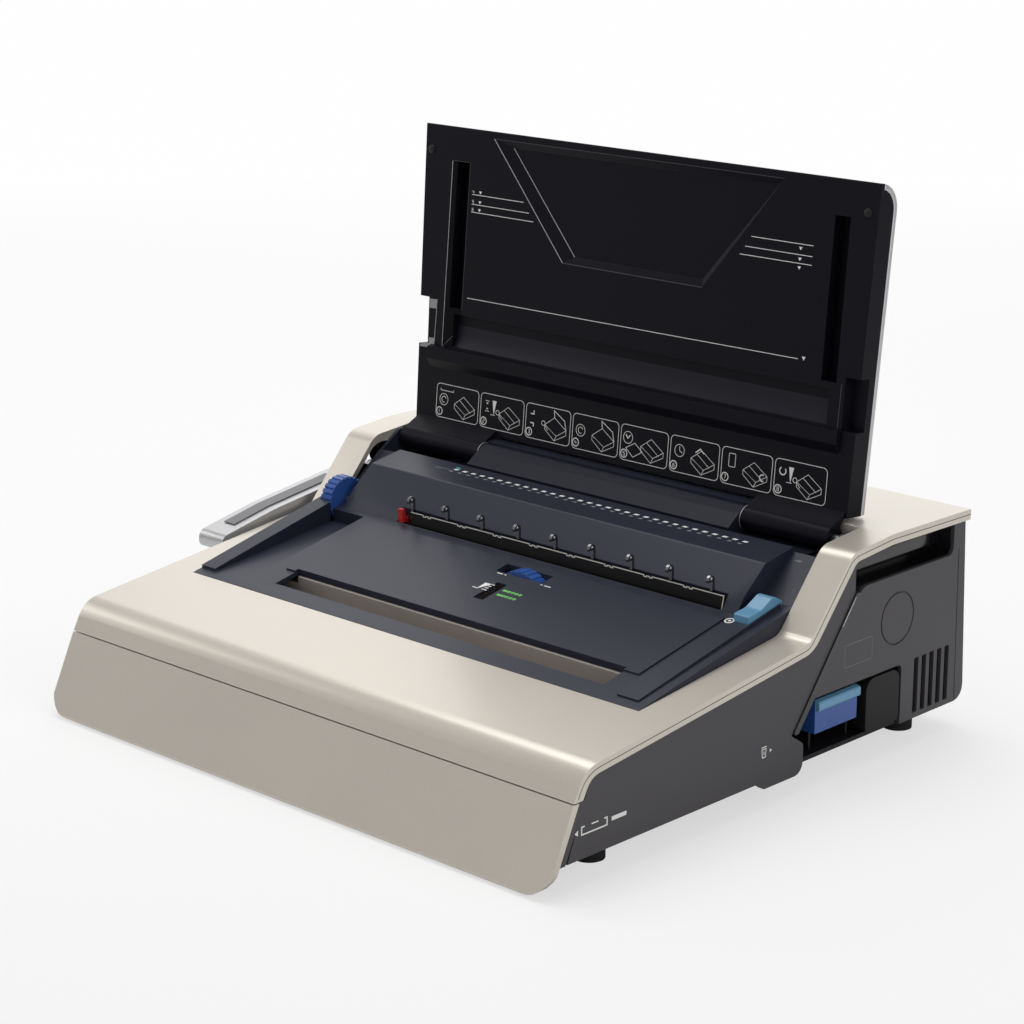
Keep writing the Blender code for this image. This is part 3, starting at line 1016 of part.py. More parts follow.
def make_frames():
    top = HINGE_Z - BARREL_RADIUS - RUN_GAP - DECK_SHEET - SEAT_GAP
    bottom = BASE_TOP + SEAT_GAP
    low, high, y0, y1 = bottom, top, FRAME_FRONT_Y, FRAME_REAR_Y
    motor_rear, motor_top = MOTOR_Y + MOTOR_RADIUS + JAW_THICK, MOTOR_Z + MOTOR_RADIUS
    front_top = height_on(side_line(), y0) - 2 * DECK_SHEET
    front = [(STRIP_REAR_Y + DECK_SHEET, high), (y0, front_top)]
    plain = rounded([(y0, low), (y1, low), (y1, high), *front], [0, 0, BLOCK_RADIUS, 0, 0])
    long = [(y0, low), (motor_rear, low), (motor_rear, motor_top), (y1, motor_top), (y1, high), *front]
    long = rounded(long, [0, 0, BLOCK_RADIUS, 0, BLOCK_RADIUS, 0, 0])
    idler_y, idler_z = idler_place()
    for name, outline, x in (
        ("punch_frame_left", plain, FRAME_LEFT_X - FRAME_THICK), ("punch_frame_right", long, FRAME_RIGHT_X),
    ):
        frame = make(name, prism(outline, x, x + FRAME_THICK), "steel")
        near, far = x - OVERRUN, x + FRAME_THICK + OVERRUN
        bore = SHAFT_RADIUS + SEAT_GAP
        cut(
            frame, rod("x", CAM_Y, PUNCH_Z, bore, near, far, 20),
            rod("x", LEVER_Y, LEVER_Z, bore, near, far, 20)
        )
        if outline is plain:
            continue
        cut(frame, rod("x", idler_y, idler_z, PIN_RADIUS + SEAT_GAP, near, far, 16))
        cut(frame, rod("x", MOTOR_Y, MOTOR_Z, PIN_RADIUS + SEAT_GAP, near, far, 16))
        room = TRIM_PROUD
        cut(frame, block((near, y0 - OVERRUN, low - OVERRUN), (far, CHIP_REAR_Y + room, CHIP_HIGH_Z + room)))


def idler_place():
    """Where the middle gear's axle lies, from its distances to the pinion and the big gear."""
    start, end = Vector((MOTOR_Y, MOTOR_Z)), Vector((CAM_Y, PUNCH_Z))
    near = GEAR_MODULE * (PINION_TEETH + IDLER_TEETH) / 2
    far = GEAR_MODULE * (IDLER_TEETH + WHEEL_TEETH) / 2
    apart = (end - start).length
    reach = (near**2 - far**2 + apart**2) / (2 * apart)
    run = (end - start).normalized()
    sideways = Vector((run.y, -run.x)) * math.sqrt(max(near**2 - reach**2, 0))
    return tuple(start + run * reach + sideways)


def gear_outline(a, b, teeth, phase):
    """A spur gear with straight flanks, one tooth at the phase angle."""
    pitch_radius = GEAR_MODULE * teeth / 2
    tip, root = pitch_radius + GEAR_TIP_SHARE * GEAR_MODULE, pitch_radius - GEAR_ROOT_SHARE * GEAR_MODULE
    step = 2 * math.pi / teeth
    points = []
    for i in range(teeth):
        foot, crest = TOOTH_FOOT_SHARE, TOOTH_TIP_SHARE
        for radius, share in ((root, -foot), (tip, -crest), (tip, crest), (root, foot)):
            angle = phase + (i + share) * step
            points.append((a + radius * math.cos(angle), b + radius * math.sin(angle)))
    return points


def direction(start, end):
    return math.atan2(end[1] - start[1], end[0] - start[0])


def make_gears():
    motor, idler, cam = (MOTOR_Y, MOTOR_Z), idler_place(), (CAM_Y, PUNCH_Z)
    idler_phase = direction(idler, motor)
    pinion_phase = direction(motor, idler) + math.pi / PINION_TEETH
    step = 2 * math.pi / IDLER_TEETH
    behind = (direction(idler, cam) - idler_phase) % step
    wheel_phase = direction(cam, idler) + behind * IDLER_TEETH / WHEEL_TEETH + math.pi / WHEEL_TEETH
    near, far = GEAR_X, GEAR_X + GEAR_THICK
    wheel = make(
        "drive_gear", prism(gear_outline(*cam, WHEEL_TEETH, wheel_phase), near, far), "grey_plastic",
        (0, *cam)
    )
    cut(wheel, rod("x", *cam, SHAFT_RADIUS + SEAT_GAP, near - OVERRUN, far + OVERRUN, 20))
    middle = make(
        "idler_gear", prism(gear_outline(*idler, IDLER_TEETH, idler_phase), near, far), "grey_plastic",
        (0, *idler)
    )
    fuse(middle, rod("x", *idler, PIN_RADIUS, FRAME_RIGHT_X - SEAT_GAP, near + GEAR_THICK / 2, 16))
    pinion = make(
        "motor_pinion", prism(gear_outline(*motor, PINION_TEETH, pinion_phase), near, far), "steel",
        (0, *motor)
    )
    fuse(pinion, rod("x", *motor, PIN_RADIUS, FRAME_RIGHT_X - 2 * GEAR_THICK, near + GEAR_THICK / 2, 16))


def make_camshaft():
    pivot = (0, CAM_Y, PUNCH_Z)
    shaft = rod("x", CAM_Y, PUNCH_Z, SHAFT_RADIUS, FRAME_LEFT_X - FRAME_THICK, GEAR_X + GEAR_THICK, 20)
    shaft = make("camshaft", shaft, "steel", pivot)
    for x in (PUNCH_CENTRE_X - CAM_OFFSET_X, PUNCH_CENTRE_X + CAM_OFFSET_X):
        fuse(
            shaft, rod("x", CAM_Y + CAM_THROW, PUNCH_Z, CAM_RADIUS, x - CAM_THICK / 2,
                x + CAM_THICK / 2, 28)
        )


def make_motor():
    far = FRAME_RIGHT_X - SEAT_GAP
    motor = make("motor", rod("x", MOTOR_Y, MOTOR_Z, MOTOR_RADIUS, far - MOTOR_LENGTH, far, 28), "steel")
    cut(motor, rod("x", MOTOR_Y, MOTOR_Z, PIN_RADIUS + SEAT_GAP, far - 3 * GEAR_THICK, far + OVERRUN, 16))


def make_hooks():
    low_x, high_x = SLOT_LEFT_X - OVERRUN, SLOT_RIGHT_X + OVERRUN
    half = HOOK_RAIL_THICK / 2
    rail = block((low_x, HOOK_Y - half, HOOK_RAIL_LOW_Z), (high_x, HOOK_Y + half, HOOK_RAIL_HIGH_Z))
    rail = make("hook_rail", rail, "steel")
    curl_z = HOOK_TOP_Z - HOOK_CURL_RADIUS - HOOK_ROD_RADIUS
    path = [(HOOK_Y, HOOK_RAIL_HIGH_Z - HOOK_RAIL_THICK), (HOOK_Y, curl_z)]
    for i in range(1, HOOK_CURL_STEPS + 1):
        turn = HOOK_CURL_TURN * i / HOOK_CURL_STEPS
        path.append(
            (HOOK_Y - HOOK_CURL_RADIUS * (1 - math.cos(turn)),
                curl_z + HOOK_CURL_RADIUS * math.sin(turn))
        )
    outline = offset_line(path, HOOK_ROD_RADIUS) + offset_line(path, -HOOK_ROD_RADIUS)[::-1]
    hooks = [prism(outline, x - HOOK_ROD_RADIUS, x + HOOK_ROD_RADIUS) for x in hook_places()]
    fuse(rail, merged(hooks))


def hook_places():
    middle = (SLOT_LEFT_X + SLOT_RIGHT_X) / 2
    return [middle + (i - (HOOK_COUNT - 1) / 2) * HOOK_STEP * PITCH for i in range(HOOK_COUNT)]


def merged(shapes):
    """Several separate shapes as one mesh."""
    whole = bmesh.new()
    for bm in shapes:
        mesh = bpy.data.meshes.new("shape")
        bm.to_mesh(mesh)
        bm.free()
        whole.from_mesh(mesh)
        bpy.data.meshes.remove(mesh)
    return whole


def make_edge_guide():
    pivot = (0, KNOB_Y, KNOB_Z)
    turn = 2 * math.pi / KNOB_TEETH
    knurl = []
    for i in range(KNOB_TEETH):
        for share, radius in (
            (-KNOB_CREST_SHARE, KNOB_RADIUS), (KNOB_CREST_SHARE, KNOB_RADIUS),
            (1 / 2, KNOB_RADIUS - KNOB_TOOTH_DEPTH)
        ):
            knurl.append(
                (KNOB_Y + radius * math.cos((i + share) * turn),
                    KNOB_Z + radius * math.sin((i + share) * turn))
            )
    make("edge_knob", prism(knurl, KNOB_INNER_X - KNOB_WIDTH, KNOB_INNER_X), "blue", pivot)
    stop_x = SLOT_LEFT_X + RUN_GAP
    far = stop_x + STOP_WIDTH + STOP_TRAVEL + SCREW_RADIUS
    make(
        "edge_screw", rod("x", KNOB_Y, KNOB_Z, SCREW_RADIUS, KNOB_INNER_X + SEAT_GAP, far, 16), "steel",
        pivot
    )
    rear, low = KNOB_Y + SCREW_RADIUS + 2 * RUN_GAP, KNOB_Z - SCREW_RADIUS - 2 * RUN_GAP
    top = KNOB_Z + SCREW_RADIUS + 2 * RUN_GAP
    finger = SLOT_FRONT_Y + 2 * RUN_GAP
    under = HOOK_RAIL_HIGH_Z + RUN_GAP
    outline = [
        (finger, under), (SLOT_REAR_Y, under), (SLOT_REAR_Y, low), (rear, low), (rear, top),
        (SLOT_REAR_Y + DECK_SHEET, top), (SLOT_REAR_Y, KNOB_Z + TRIM_PROUD),
        (SLOT_REAR_Y - 2 * RUN_GAP, KNOB_Z + TRIM_PROUD),
        (SLOT_REAR_Y - DECK_SHEET, SLOT_REAR_Z), (finger, SLOT_REAR_Z),
    ]
    stop = make("edge_stop", prism(outline, stop_x, stop_x + STOP_WIDTH), "red")
    cut(
        stop, rod("x", KNOB_Y, KNOB_Z, SCREW_RADIUS + SEAT_GAP, stop_x - OVERRUN,
            stop_x + STOP_WIDTH + OVERRUN, 16)
    )


def make_size_wheel():
    pivot = (SIZE_WHEEL_X, 0, SIZE_WHEEL_Z)
    turn = 2 * math.pi / SIZE_WHEEL_RIBS
    ribs = []
    for i in range(SIZE_WHEEL_RIBS):
        for share, radius in (
            (-SIZE_CREST_SHARE, SIZE_WHEEL_RADIUS), (SIZE_CREST_SHARE, SIZE_WHEEL_RADIUS),
            (1 / 2, SIZE_WHEEL_RADIUS - SIZE_RIB_DEPTH)
        ):
            angle = (i + share) * turn
            ribs.append((SIZE_WHEEL_X + radius * math.cos(angle), SIZE_WHEEL_Z + radius * math.sin(angle)))
    half = SIZE_WHEEL_WIDTH / 2
    wheel = make("size_wheel", prism(ribs, SIZE_WHEEL_Y - half, SIZE_WHEEL_Y + half, "y"), "blue", pivot)
    end = SIZE_WHEEL_Y + half + 2 * DECK_SHEET
    fuse(wheel, rod("y", SIZE_WHEEL_X, SIZE_WHEEL_Z, SIZE_SCREW_RADIUS, SIZE_SCREW_FRONT_Y, end, 16))
    length = POINTER_LENGTH / 2
    nut = 2 * SIZE_SCREW_RADIUS
    pointer = block(
        (SIZE_WHEEL_X - nut, WINDOW_Y - length, SIZE_WHEEL_Z - nut),
        (SIZE_WHEEL_X + nut, WINDOW_Y + length, SIZE_WHEEL_Z + nut)
    )
    pointer = make("size_pointer", pointer, "red")
    tip = deck_z(WINDOW_Y - length - POINTER_TRAVEL / 2) - DECK_SHEET - DECK_WALL
    flag = WINDOW_WIDTH / 2 - RUN_GAP
    fuse(pointer, block((WINDOW_X - flag, WINDOW_Y - length / 2,
        SIZE_WHEEL_Z + SIZE_SCREW_RADIUS + TRIM_PROUD),
                        (WINDOW_X + flag, WINDOW_Y + length / 2, tip)))
    cut(pointer, rod("y", SIZE_WHEEL_X, SIZE_WHEEL_Z, SIZE_SCREW_RADIUS + SEAT_GAP,
        WINDOW_Y - length - OVERRUN,
                     WINDOW_Y + length + OVERRUN, 16))


def make_paddle():
    line = side_line()
    length = PADDLE_REAR_Y - PADDLE_FRONT_Y
    dip, hump = PADDLE_FRONT_Y + length * PADDLE_DIP_SHARE, PADDLE_FRONT_Y + length * PADDLE_HUMP_SHARE
    base = height_on(line, PADDLE_FRONT_Y) - PADDLE_SINK
    rear_base = height_on(line, PADDLE_REAR_Y) - PADDLE_SINK
    outline = [
        (PADDLE_FRONT_Y, base), (PADDLE_REAR_Y, rear_base),
        (PADDLE_REAR_Y, rear_base + PADDLE_SINK + PADDLE_LOW_RISE / 2),
        (hump, height_on(line, hump) + PADDLE_HUMP_RISE), (dip, height_on(line, dip) + PADDLE_DIP_RISE),
        (PADDLE_FRONT_Y, base + PADDLE_SINK + PADDLE_LOW_RISE),
    ]
    outline = rounded(outline, [0, 0, TRIM_PROUD, PADDLE_SINK, 2 * PADDLE_SINK, TRIM_PROUD])
    pivot = (0, PADDLE_REAR_Y - PADDLE_SINK / 2, rear_base + PADDLE_SINK / 2)
    make("punch_paddle", prism(outline, PADDLE_LEFT_X, PADDLE_RIGHT_X), "light_blue", pivot)
    top = base - PADDLE_SINK / 2
    out = DECK_HALF - DECK_WALL - SEAT_GAP
    make(
        "paddle_switch", block((out - SWITCH_SIZE, PADDLE_FRONT_Y, top - SWITCH_SIZE),
            (out, PADDLE_FRONT_Y + SWITCH_SIZE, top)), "gloss_black"
    )


def make_chip_tray():
    tray = make(
        "chip_tray", block((CHIP_LEFT_X, CHIP_FRONT_Y, CHIP_LOW_Z),
            (CHIP_RIGHT_X, CHIP_REAR_Y, CHIP_HIGH_Z)), "blue"
    )
    room = block((CHIP_LEFT_X + CHIP_WALL, CHIP_FRONT_Y + CHIP_WALL, CHIP_LOW_Z + CHIP_WALL),
                 (CHIP_RIGHT_X - CHIP_WALL, CHIP_REAR_Y - CHIP_WALL, CHIP_HIGH_Z + OVERRUN))
    cut(tray, room)
    lip = rounded(
        [(CHIP_RIGHT_X - CHIP_WALL / 2, CHIP_HIGH_Z),
            (CHIP_RIGHT_X - CHIP_WALL / 2, CHIP_HIGH_Z - CHIP_LIP_HEIGHT),
         (CHIP_RIGHT_X + CHIP_LIP_PROUD, CHIP_HIGH_Z - CHIP_LIP_HEIGHT),
         (CHIP_RIGHT_X + CHIP_LIP_PROUD, CHIP_HIGH_Z)],
        [0, 0, CHIP_WALL, CHIP_WALL],
    )
    fuse(
        tray, prism([(x, z - SEAT_GAP) for x, z in lip], CHIP_FRONT_Y + SEAT_GAP,
            CHIP_REAR_Y - SEAT_GAP, "y")
    )


def make_rear_fittings():
    out = REAR_LOW_Y - TRIM_PROUD
    half_w, half_h = INLET_WIDTH / 2 - SEAT_GAP, INLET_HEIGHT / 2 - SEAT_GAP
    inlet = block(
        (INLET_X - half_w, out - INLET_DEPTH, INLET_Z - half_h),
        (INLET_X + half_w, out, INLET_Z + half_h)
    )
    inlet = make("power_inlet", inlet, "gloss_black")
    wall = 2 * TRIM_PROUD
    cut(inlet, block((INLET_X - half_w + wall, out - INLET_DEPTH + 3 * wall, INLET_Z - half_h + wall),
                     (INLET_X + half_w - wall, out + OVERRUN, INLET_Z + half_h - wall)))
    half_w, half_h = ROCKER_WIDTH / 2 - RUN_GAP, ROCKER_HEIGHT / 2 - RUN_GAP
    inner = out - ROCKER_DEPTH
    outline = [(inner, INLET_Z - half_h), (out, INLET_Z - half_h), (out - ROCKER_TILT, INLET_Z),
        (out, INLET_Z + half_h),
               (inner, INLET_Z + half_h)]
    pivot = (0, out - ROCKER_DEPTH / 2, INLET_Z)
    make("power_switch", prism(outline, ROCKER_X - half_w, ROCKER_X + half_w), "gloss_black", pivot)


def make_board():
    low, top = BASE_TOP + SEAT_GAP, BASE_TOP + BOARD_RISE
    x0, x1 = BOARD_X - BOARD_WIDTH / 2, BOARD_X + BOARD_WIDTH / 2
    y0, y1 = BOARD_Y - BOARD_LENGTH / 2, BOARD_Y + BOARD_LENGTH / 2
    board = make("control_board", block((x0, y0, top), (x1, y1, top + BOARD_SHEET)), "board_green")
    post = 2 * BOARD_SHEET
    posts = []
    for x in (x0 + post, x1 - 2 * post):
        for y in (y0 + post, y1 - 2 * post):
            posts.append(((x, y, low), (x + post, y + post, top + BOARD_SHEET / 2)))
    relay = (
        (BOARD_X, BOARD_Y, top + BOARD_SHEET / 2),
        (BOARD_X + 3 * BOARD_RISE, BOARD_Y + 2 * BOARD_RISE, top + 2 * BOARD_RISE)
    )
    fuse(board, blocks(posts + [relay]))


def main():
    clear_scene()
    root = bpy.data.objects.new("machine_frame", None)
    root.location = (SHIFT_X, SHIFT_Y, -DESK_Z)
    bpy.context.scene.collection.objects.link(root)
    make_materials()
    make_cover()
    for left in (True, False):
        make_front_panel(left)
        make_trim(left)
        make_rear_side_panel(left)
        make_grip(left)
    make_rear_panel()
    make_base()
    make_pads()
    make_side_block()
    make_drawer()
    make_deck()
    make_window()
    make_hinge_bar()
    make_hinge_pins()
    make_lid()
    make_lever()
    make_closer()
    make_punch()
    make_frames()
    make_gears()
    make_camshaft()
    make_motor()
    make_hooks()
    make_edge_guide()
    make_size_wheel()
    make_paddle()
    make_chip_tray()
    make_rear_fittings()
    make_board()


main()
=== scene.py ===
# Looks of the wire binding machine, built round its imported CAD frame.
# Metres, +Z up, front towards -Y.

import json
import math

import bmesh
import bpy
from mathutils import Matrix, Vector

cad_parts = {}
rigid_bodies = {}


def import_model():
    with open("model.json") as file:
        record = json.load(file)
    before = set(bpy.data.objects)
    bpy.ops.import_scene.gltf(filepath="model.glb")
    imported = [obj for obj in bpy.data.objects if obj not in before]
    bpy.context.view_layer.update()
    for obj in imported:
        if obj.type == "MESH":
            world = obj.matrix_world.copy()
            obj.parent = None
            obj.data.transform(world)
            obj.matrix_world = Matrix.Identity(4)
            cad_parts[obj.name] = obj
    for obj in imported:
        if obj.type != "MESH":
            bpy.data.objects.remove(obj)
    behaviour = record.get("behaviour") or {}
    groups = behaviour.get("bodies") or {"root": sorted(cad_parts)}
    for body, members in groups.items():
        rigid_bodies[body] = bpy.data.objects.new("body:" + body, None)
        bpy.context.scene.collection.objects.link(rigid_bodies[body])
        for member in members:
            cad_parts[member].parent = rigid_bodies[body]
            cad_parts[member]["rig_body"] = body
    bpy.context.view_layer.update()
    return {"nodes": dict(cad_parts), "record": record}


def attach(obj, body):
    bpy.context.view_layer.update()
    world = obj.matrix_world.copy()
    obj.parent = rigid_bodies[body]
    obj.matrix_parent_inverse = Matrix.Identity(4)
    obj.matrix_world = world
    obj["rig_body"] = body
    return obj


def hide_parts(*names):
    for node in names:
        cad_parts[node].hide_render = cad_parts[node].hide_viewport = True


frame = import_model()

# Places that the pieces below share
SHIFT = Vector((0.015, -0.00135, 0.0125))
LID_LEAN = math.radians(5.2)
LID_BASE_Y, LID_BASE_Z = 0.1196, 0.1425
DECK_SLOPE, PLATE_PROUD = 0.2035, 0.0012
RAIL_SLOPE, RAIL_PROUD = 0.2148, 0.0026
SLOT_FRONT_Y, SLOT_FRONT_Z, SLOT_REAR_Z = 0.0270, 0.0955, 0.1055
SLOT_LEFT_X, SLOT_RIGHT_X = -0.1290, 0.1660
RIDGE_Y, RIDGE_Z, STRIP_REAR_Y, STRIP_REAR_Z = 0.0554, 0.1235, 0.0838, 0.1282
PANEL_OUT, TRIM_PROUD, COVER_HALF, COVER_EDGE_DROP = 0.2282, 0.0010, 0.2300, 3.4
HINGE_Y, HINGE_Z, BARREL_RADIUS, BARREL_INNER_X = 0.1080, 0.1315, 0.0085, 0.1205
PITCH = 0.0254 / 3
MARK_COUNT, MARK_MIDDLE_X = 32, 0.0140
HOOK_COUNT, HOOK_STEP, HOOK_Y, HOOK_TOP_Z = 9, 4, 0.0320, 0.1161
MM = 0.001

# Forms of the lid, in millimetres on its face
RECESS_DEPTH = 2.9
RECESS_OUTER = ((-140.6, 211.6), (119.7, 211.6), (58.3, 132.3), (-67.8, 132.3))
RECESS_INNER = ((-123.5, 206.5), (114.6, 206.5), (56.0, 137.4), (-59.5, 137.4))
CHANNEL_LOW, CHANNEL_RISE, CHANNEL_HALF, CHANNEL_DEPTH = 54.9, 19, 169.6, 4.85
SLOT_EDGE_LEFT, SLOT_LOW, SLOT_TOP = -180.2, 55.8, 192.3
EDGE_SINK, CURVE_STEPS = 0.1, 12
BARREL_HIGHLIGHT_BAND, RING_PROUD, RING_STEPS = 0.5 * MM, 0.08 * MM, 40

# Dressing of the solids
WELD = 2e-6
FLAT_ANGLE = math.radians(0.6)
CREASE = math.radians(38)
ROUNDED_ANGLE = math.radians(32)
INK_PROUD, INK_SINK, MITRE_LEAST = 0.00006, 0.00012, 0.4


# Materials. A mix node's color sockets are taken by place, because their names repeat.

EDGE_LIGHTEN_REACH = 0.0009
MIX_FIRST, MIX_SECOND, MIX_RESULT = 6, 7, 2


def node(tree, kind, **values):
    made = tree.nodes.new(kind)
    for key, value in values.items():
        if key in made.inputs:
            made.inputs[key].default_value = value
        else:
            setattr(made, key, value)
    return made


def remap(tree, source, low, high, start, end):
    """The source, stretched from low..high to start..end."""
    made = node(tree, "ShaderNodeMapRange")
    made.inputs["From Min"].default_value = low
    made.inputs["From Max"].default_value = high
    made.inputs["To Min"].default_value = start
    made.inputs["To Max"].default_value = end
    tree.links.new(source, made.inputs["Value"])
    return made.outputs["Result"]


def product(tree, first, second):
    made = node(tree, "ShaderNodeMath", operation="MULTIPLY")
    tree.links.new(first, made.inputs[0])
    tree.links.new(second, made.inputs[1])
    return made.outputs["Value"]


def rubbed_and_highlit_edges(tree, color, colored, broad, edge_wear_and_highlight):
    """The color, lighter along edges: partly rubbed wear, partly a painted highlight."""
    link = tree.links.new
    soft = node(tree, "ShaderNodeBevel", samples=4, Radius=EDGE_LIGHTEN_REACH)
    plain = node(tree, "ShaderNodeNewGeometry")
    facing = node(tree, "ShaderNodeVectorMath", operation="DOT_PRODUCT")
    link(soft.outputs["Normal"], facing.inputs[0])
    link(plain.outputs["Normal"], facing.inputs[1])
    edge_lightening = remap(tree, facing.outputs["Value"], 0.98, 0.80, 0, edge_wear_and_highlight)
    mixed = node(tree, "ShaderNodeMix", data_type="RGBA")
    mixed.inputs[MIX_SECOND].default_value = (*[min(1, c * 1.6 + 0.06) for c in color], 1)
    link(product(tree, edge_lightening, broad.outputs["Fac"]), mixed.inputs[0])
    link(colored, mixed.inputs[MIX_FIRST])
    return mixed.outputs[MIX_RESULT]


def surface(name, color, roughness, metallic=0.0, coat=0.0, grain=1400.0, bump=0.05, mottle=0.08, edge_wear_and_highlight=0.0,
            stretch=(1, 1, 1), smear=0.12, flakes=0.0, specular=0.5):
    """A moulded, painted or metal surface: fine grain, uneven gloss, faint mottling, and edges lightened as
    rubbed wear and painted highlight.
    """
    made = bpy.data.materials.new(name)
    made.use_nodes = True
    tree = made.node_tree
    link = tree.links.new
    shader = tree.nodes["Principled BSDF"]
    shader.inputs["Metallic"].default_value = metallic
    shader.inputs["Coat Weight"].default_value = coat
    shader.inputs["Coat Roughness"].default_value = 0.12
    shader.inputs["Specular IOR Level"].default_value = specular
    place = node(tree, "ShaderNodeTexCoord")
    mapping = node(tree, "ShaderNodeMapping")
    mapping.inputs["Scale"].default_value = stretch
    link(place.outputs["Object"], mapping.inputs["Vector"])
    fine = node(tree, "ShaderNodeTexNoise", Scale=grain, Detail=3.0)
    broad = node(tree, "ShaderNodeTexNoise", Scale=9.0, Detail=5.0, Roughness=0.6)
    link(mapping.outputs["Vector"], fine.inputs["Vector"])
    link(place.outputs["Object"], broad.inputs["Vector"])
    tone = remap(tree, broad.outputs["Fac"], 0, 1, 1 - mottle, 1 + mottle)
    speck = remap(tree, fine.outputs["Fac"], 0.3, 0.7, 1 - flakes, 1 + flakes)
    tinted = node(tree, "ShaderNodeVectorMath", operation="SCALE")
    tinted.inputs[0].default_value = color
    link(product(tree, tone, speck), tinted.inputs["Scale"])
    colored = tinted.outputs["Vector"]
    # Edges lightened: partly rubbed wear, partly a painted highlight.
    if edge_wear_and_highlight:
        colored = rubbed_and_highlit_edges(tree, color, colored, broad, edge_wear_and_highlight)
    link(colored, shader.inputs["Base Color"])
    dull = min(1, roughness * (1 + smear))
    link(remap(tree, broad.outputs["Fac"], 0, 1, roughness * (1 - smear), dull), shader.inputs["Roughness"])
    relief = node(tree, "ShaderNodeBump", Strength=bump, Distance=0.0003)
    link(fine.outputs["Fac"], relief.inputs["Height"])
    link(relief.outputs["Normal"], shader.inputs["Normal"])
    return made


def window_glass():
    made = surface("clear_window_look", (0.06, 0.045, 0.05), 0.05, bump=0.01, mottle=0.02)
    shader = made.node_tree.nodes["Principled BSDF"]
    shader.inputs["Transmission Weight"].default_value = 0.85
    shader.inputs["IOR"].default_value = 1.49
    return made


LOOKS = {
    "champagne": surface("champagne_paint", (0.66, 0.61, 0.535), 0.34, metallic=0.45, coat=0.25, grain=2600,
                         bump=0.03, mottle=0.02, edge_wear_and_highlight=0.25, flakes=0.05),
    "dark_shell": surface("dark_shell_moulding", (0.05, 0.046, 0.052), 0.46, grain=1500, bump=0.16,
                          mottle=0.07, edge_wear_and_highlight=0.3),
    "deck_navy": surface("deck_moulding", (0.018, 0.021, 0.037), 0.38, grain=1700, bump=0.1, mottle=0.07,
                         edge_wear_and_highlight=0.3, specular=0.35),
    "lid_black": surface("lid_moulding", (0.0045, 0.0045, 0.0085), 0.42, grain=1500, bump=0.07, mottle=0.1,
                         edge_wear_and_highlight=0.2, specular=0.12),
    "silver": surface("silver_paint", (0.56, 0.56, 0.57), 0.33, metallic=0.6, coat=0.2, grain=2600, bump=0.03,
                      mottle=0.03, edge_wear_and_highlight=0.15, flakes=0.06),
    "blue": surface("blue_moulding", (0.026, 0.085, 0.32), 0.28, coat=0.15, grain=900, edge_wear_and_highlight=0.35),
    "light_blue": surface("light_blue_moulding", (0.12, 0.3, 0.47), 0.34, coat=0.1, grain=1100, bump=0.06,
                          mottle=0.05, edge_wear_and_highlight=0.25),
    "red": surface("red_moulding", (0.5, 0.02, 0.02), 0.35, coat=0.1, grain=1100, mottle=0.06, edge_wear_and_highlight=0.2),
    "steel": surface("brushed_steel", (0.5, 0.49, 0.48), 0.3, metallic=1.0, grain=900, bump=0.1, mottle=0.06,
                     stretch=(0.06, 1, 1), smear=0.3, flakes=0.06),
    "gloss_black": surface("glossy_black_moulding", (0.007, 0.007, 0.009), 0.14, coat=0.3, grain=700,
                           bump=0.01, mottle=0.05, edge_wear_and_highlight=0.15),
    "rubber": surface("black_rubber", (0.018, 0.018, 0.019), 0.85, grain=800, bump=0.3, mottle=0.1, edge_wear_and_highlight=0.2,
                      specular=0.3),
    "grey_plastic": surface("grey_moulding", (0.17, 0.17, 0.18), 0.48, grain=1200, bump=0.12, mottle=0.06,
                            edge_wear_and_highlight=0.2),
    "board_green": surface("circuit_board", (0.02, 0.13, 0.06), 0.35, coat=0.2, grain=500, bump=0.1,
                           mottle=0.15),
    "clear_window": window_glass(),
}
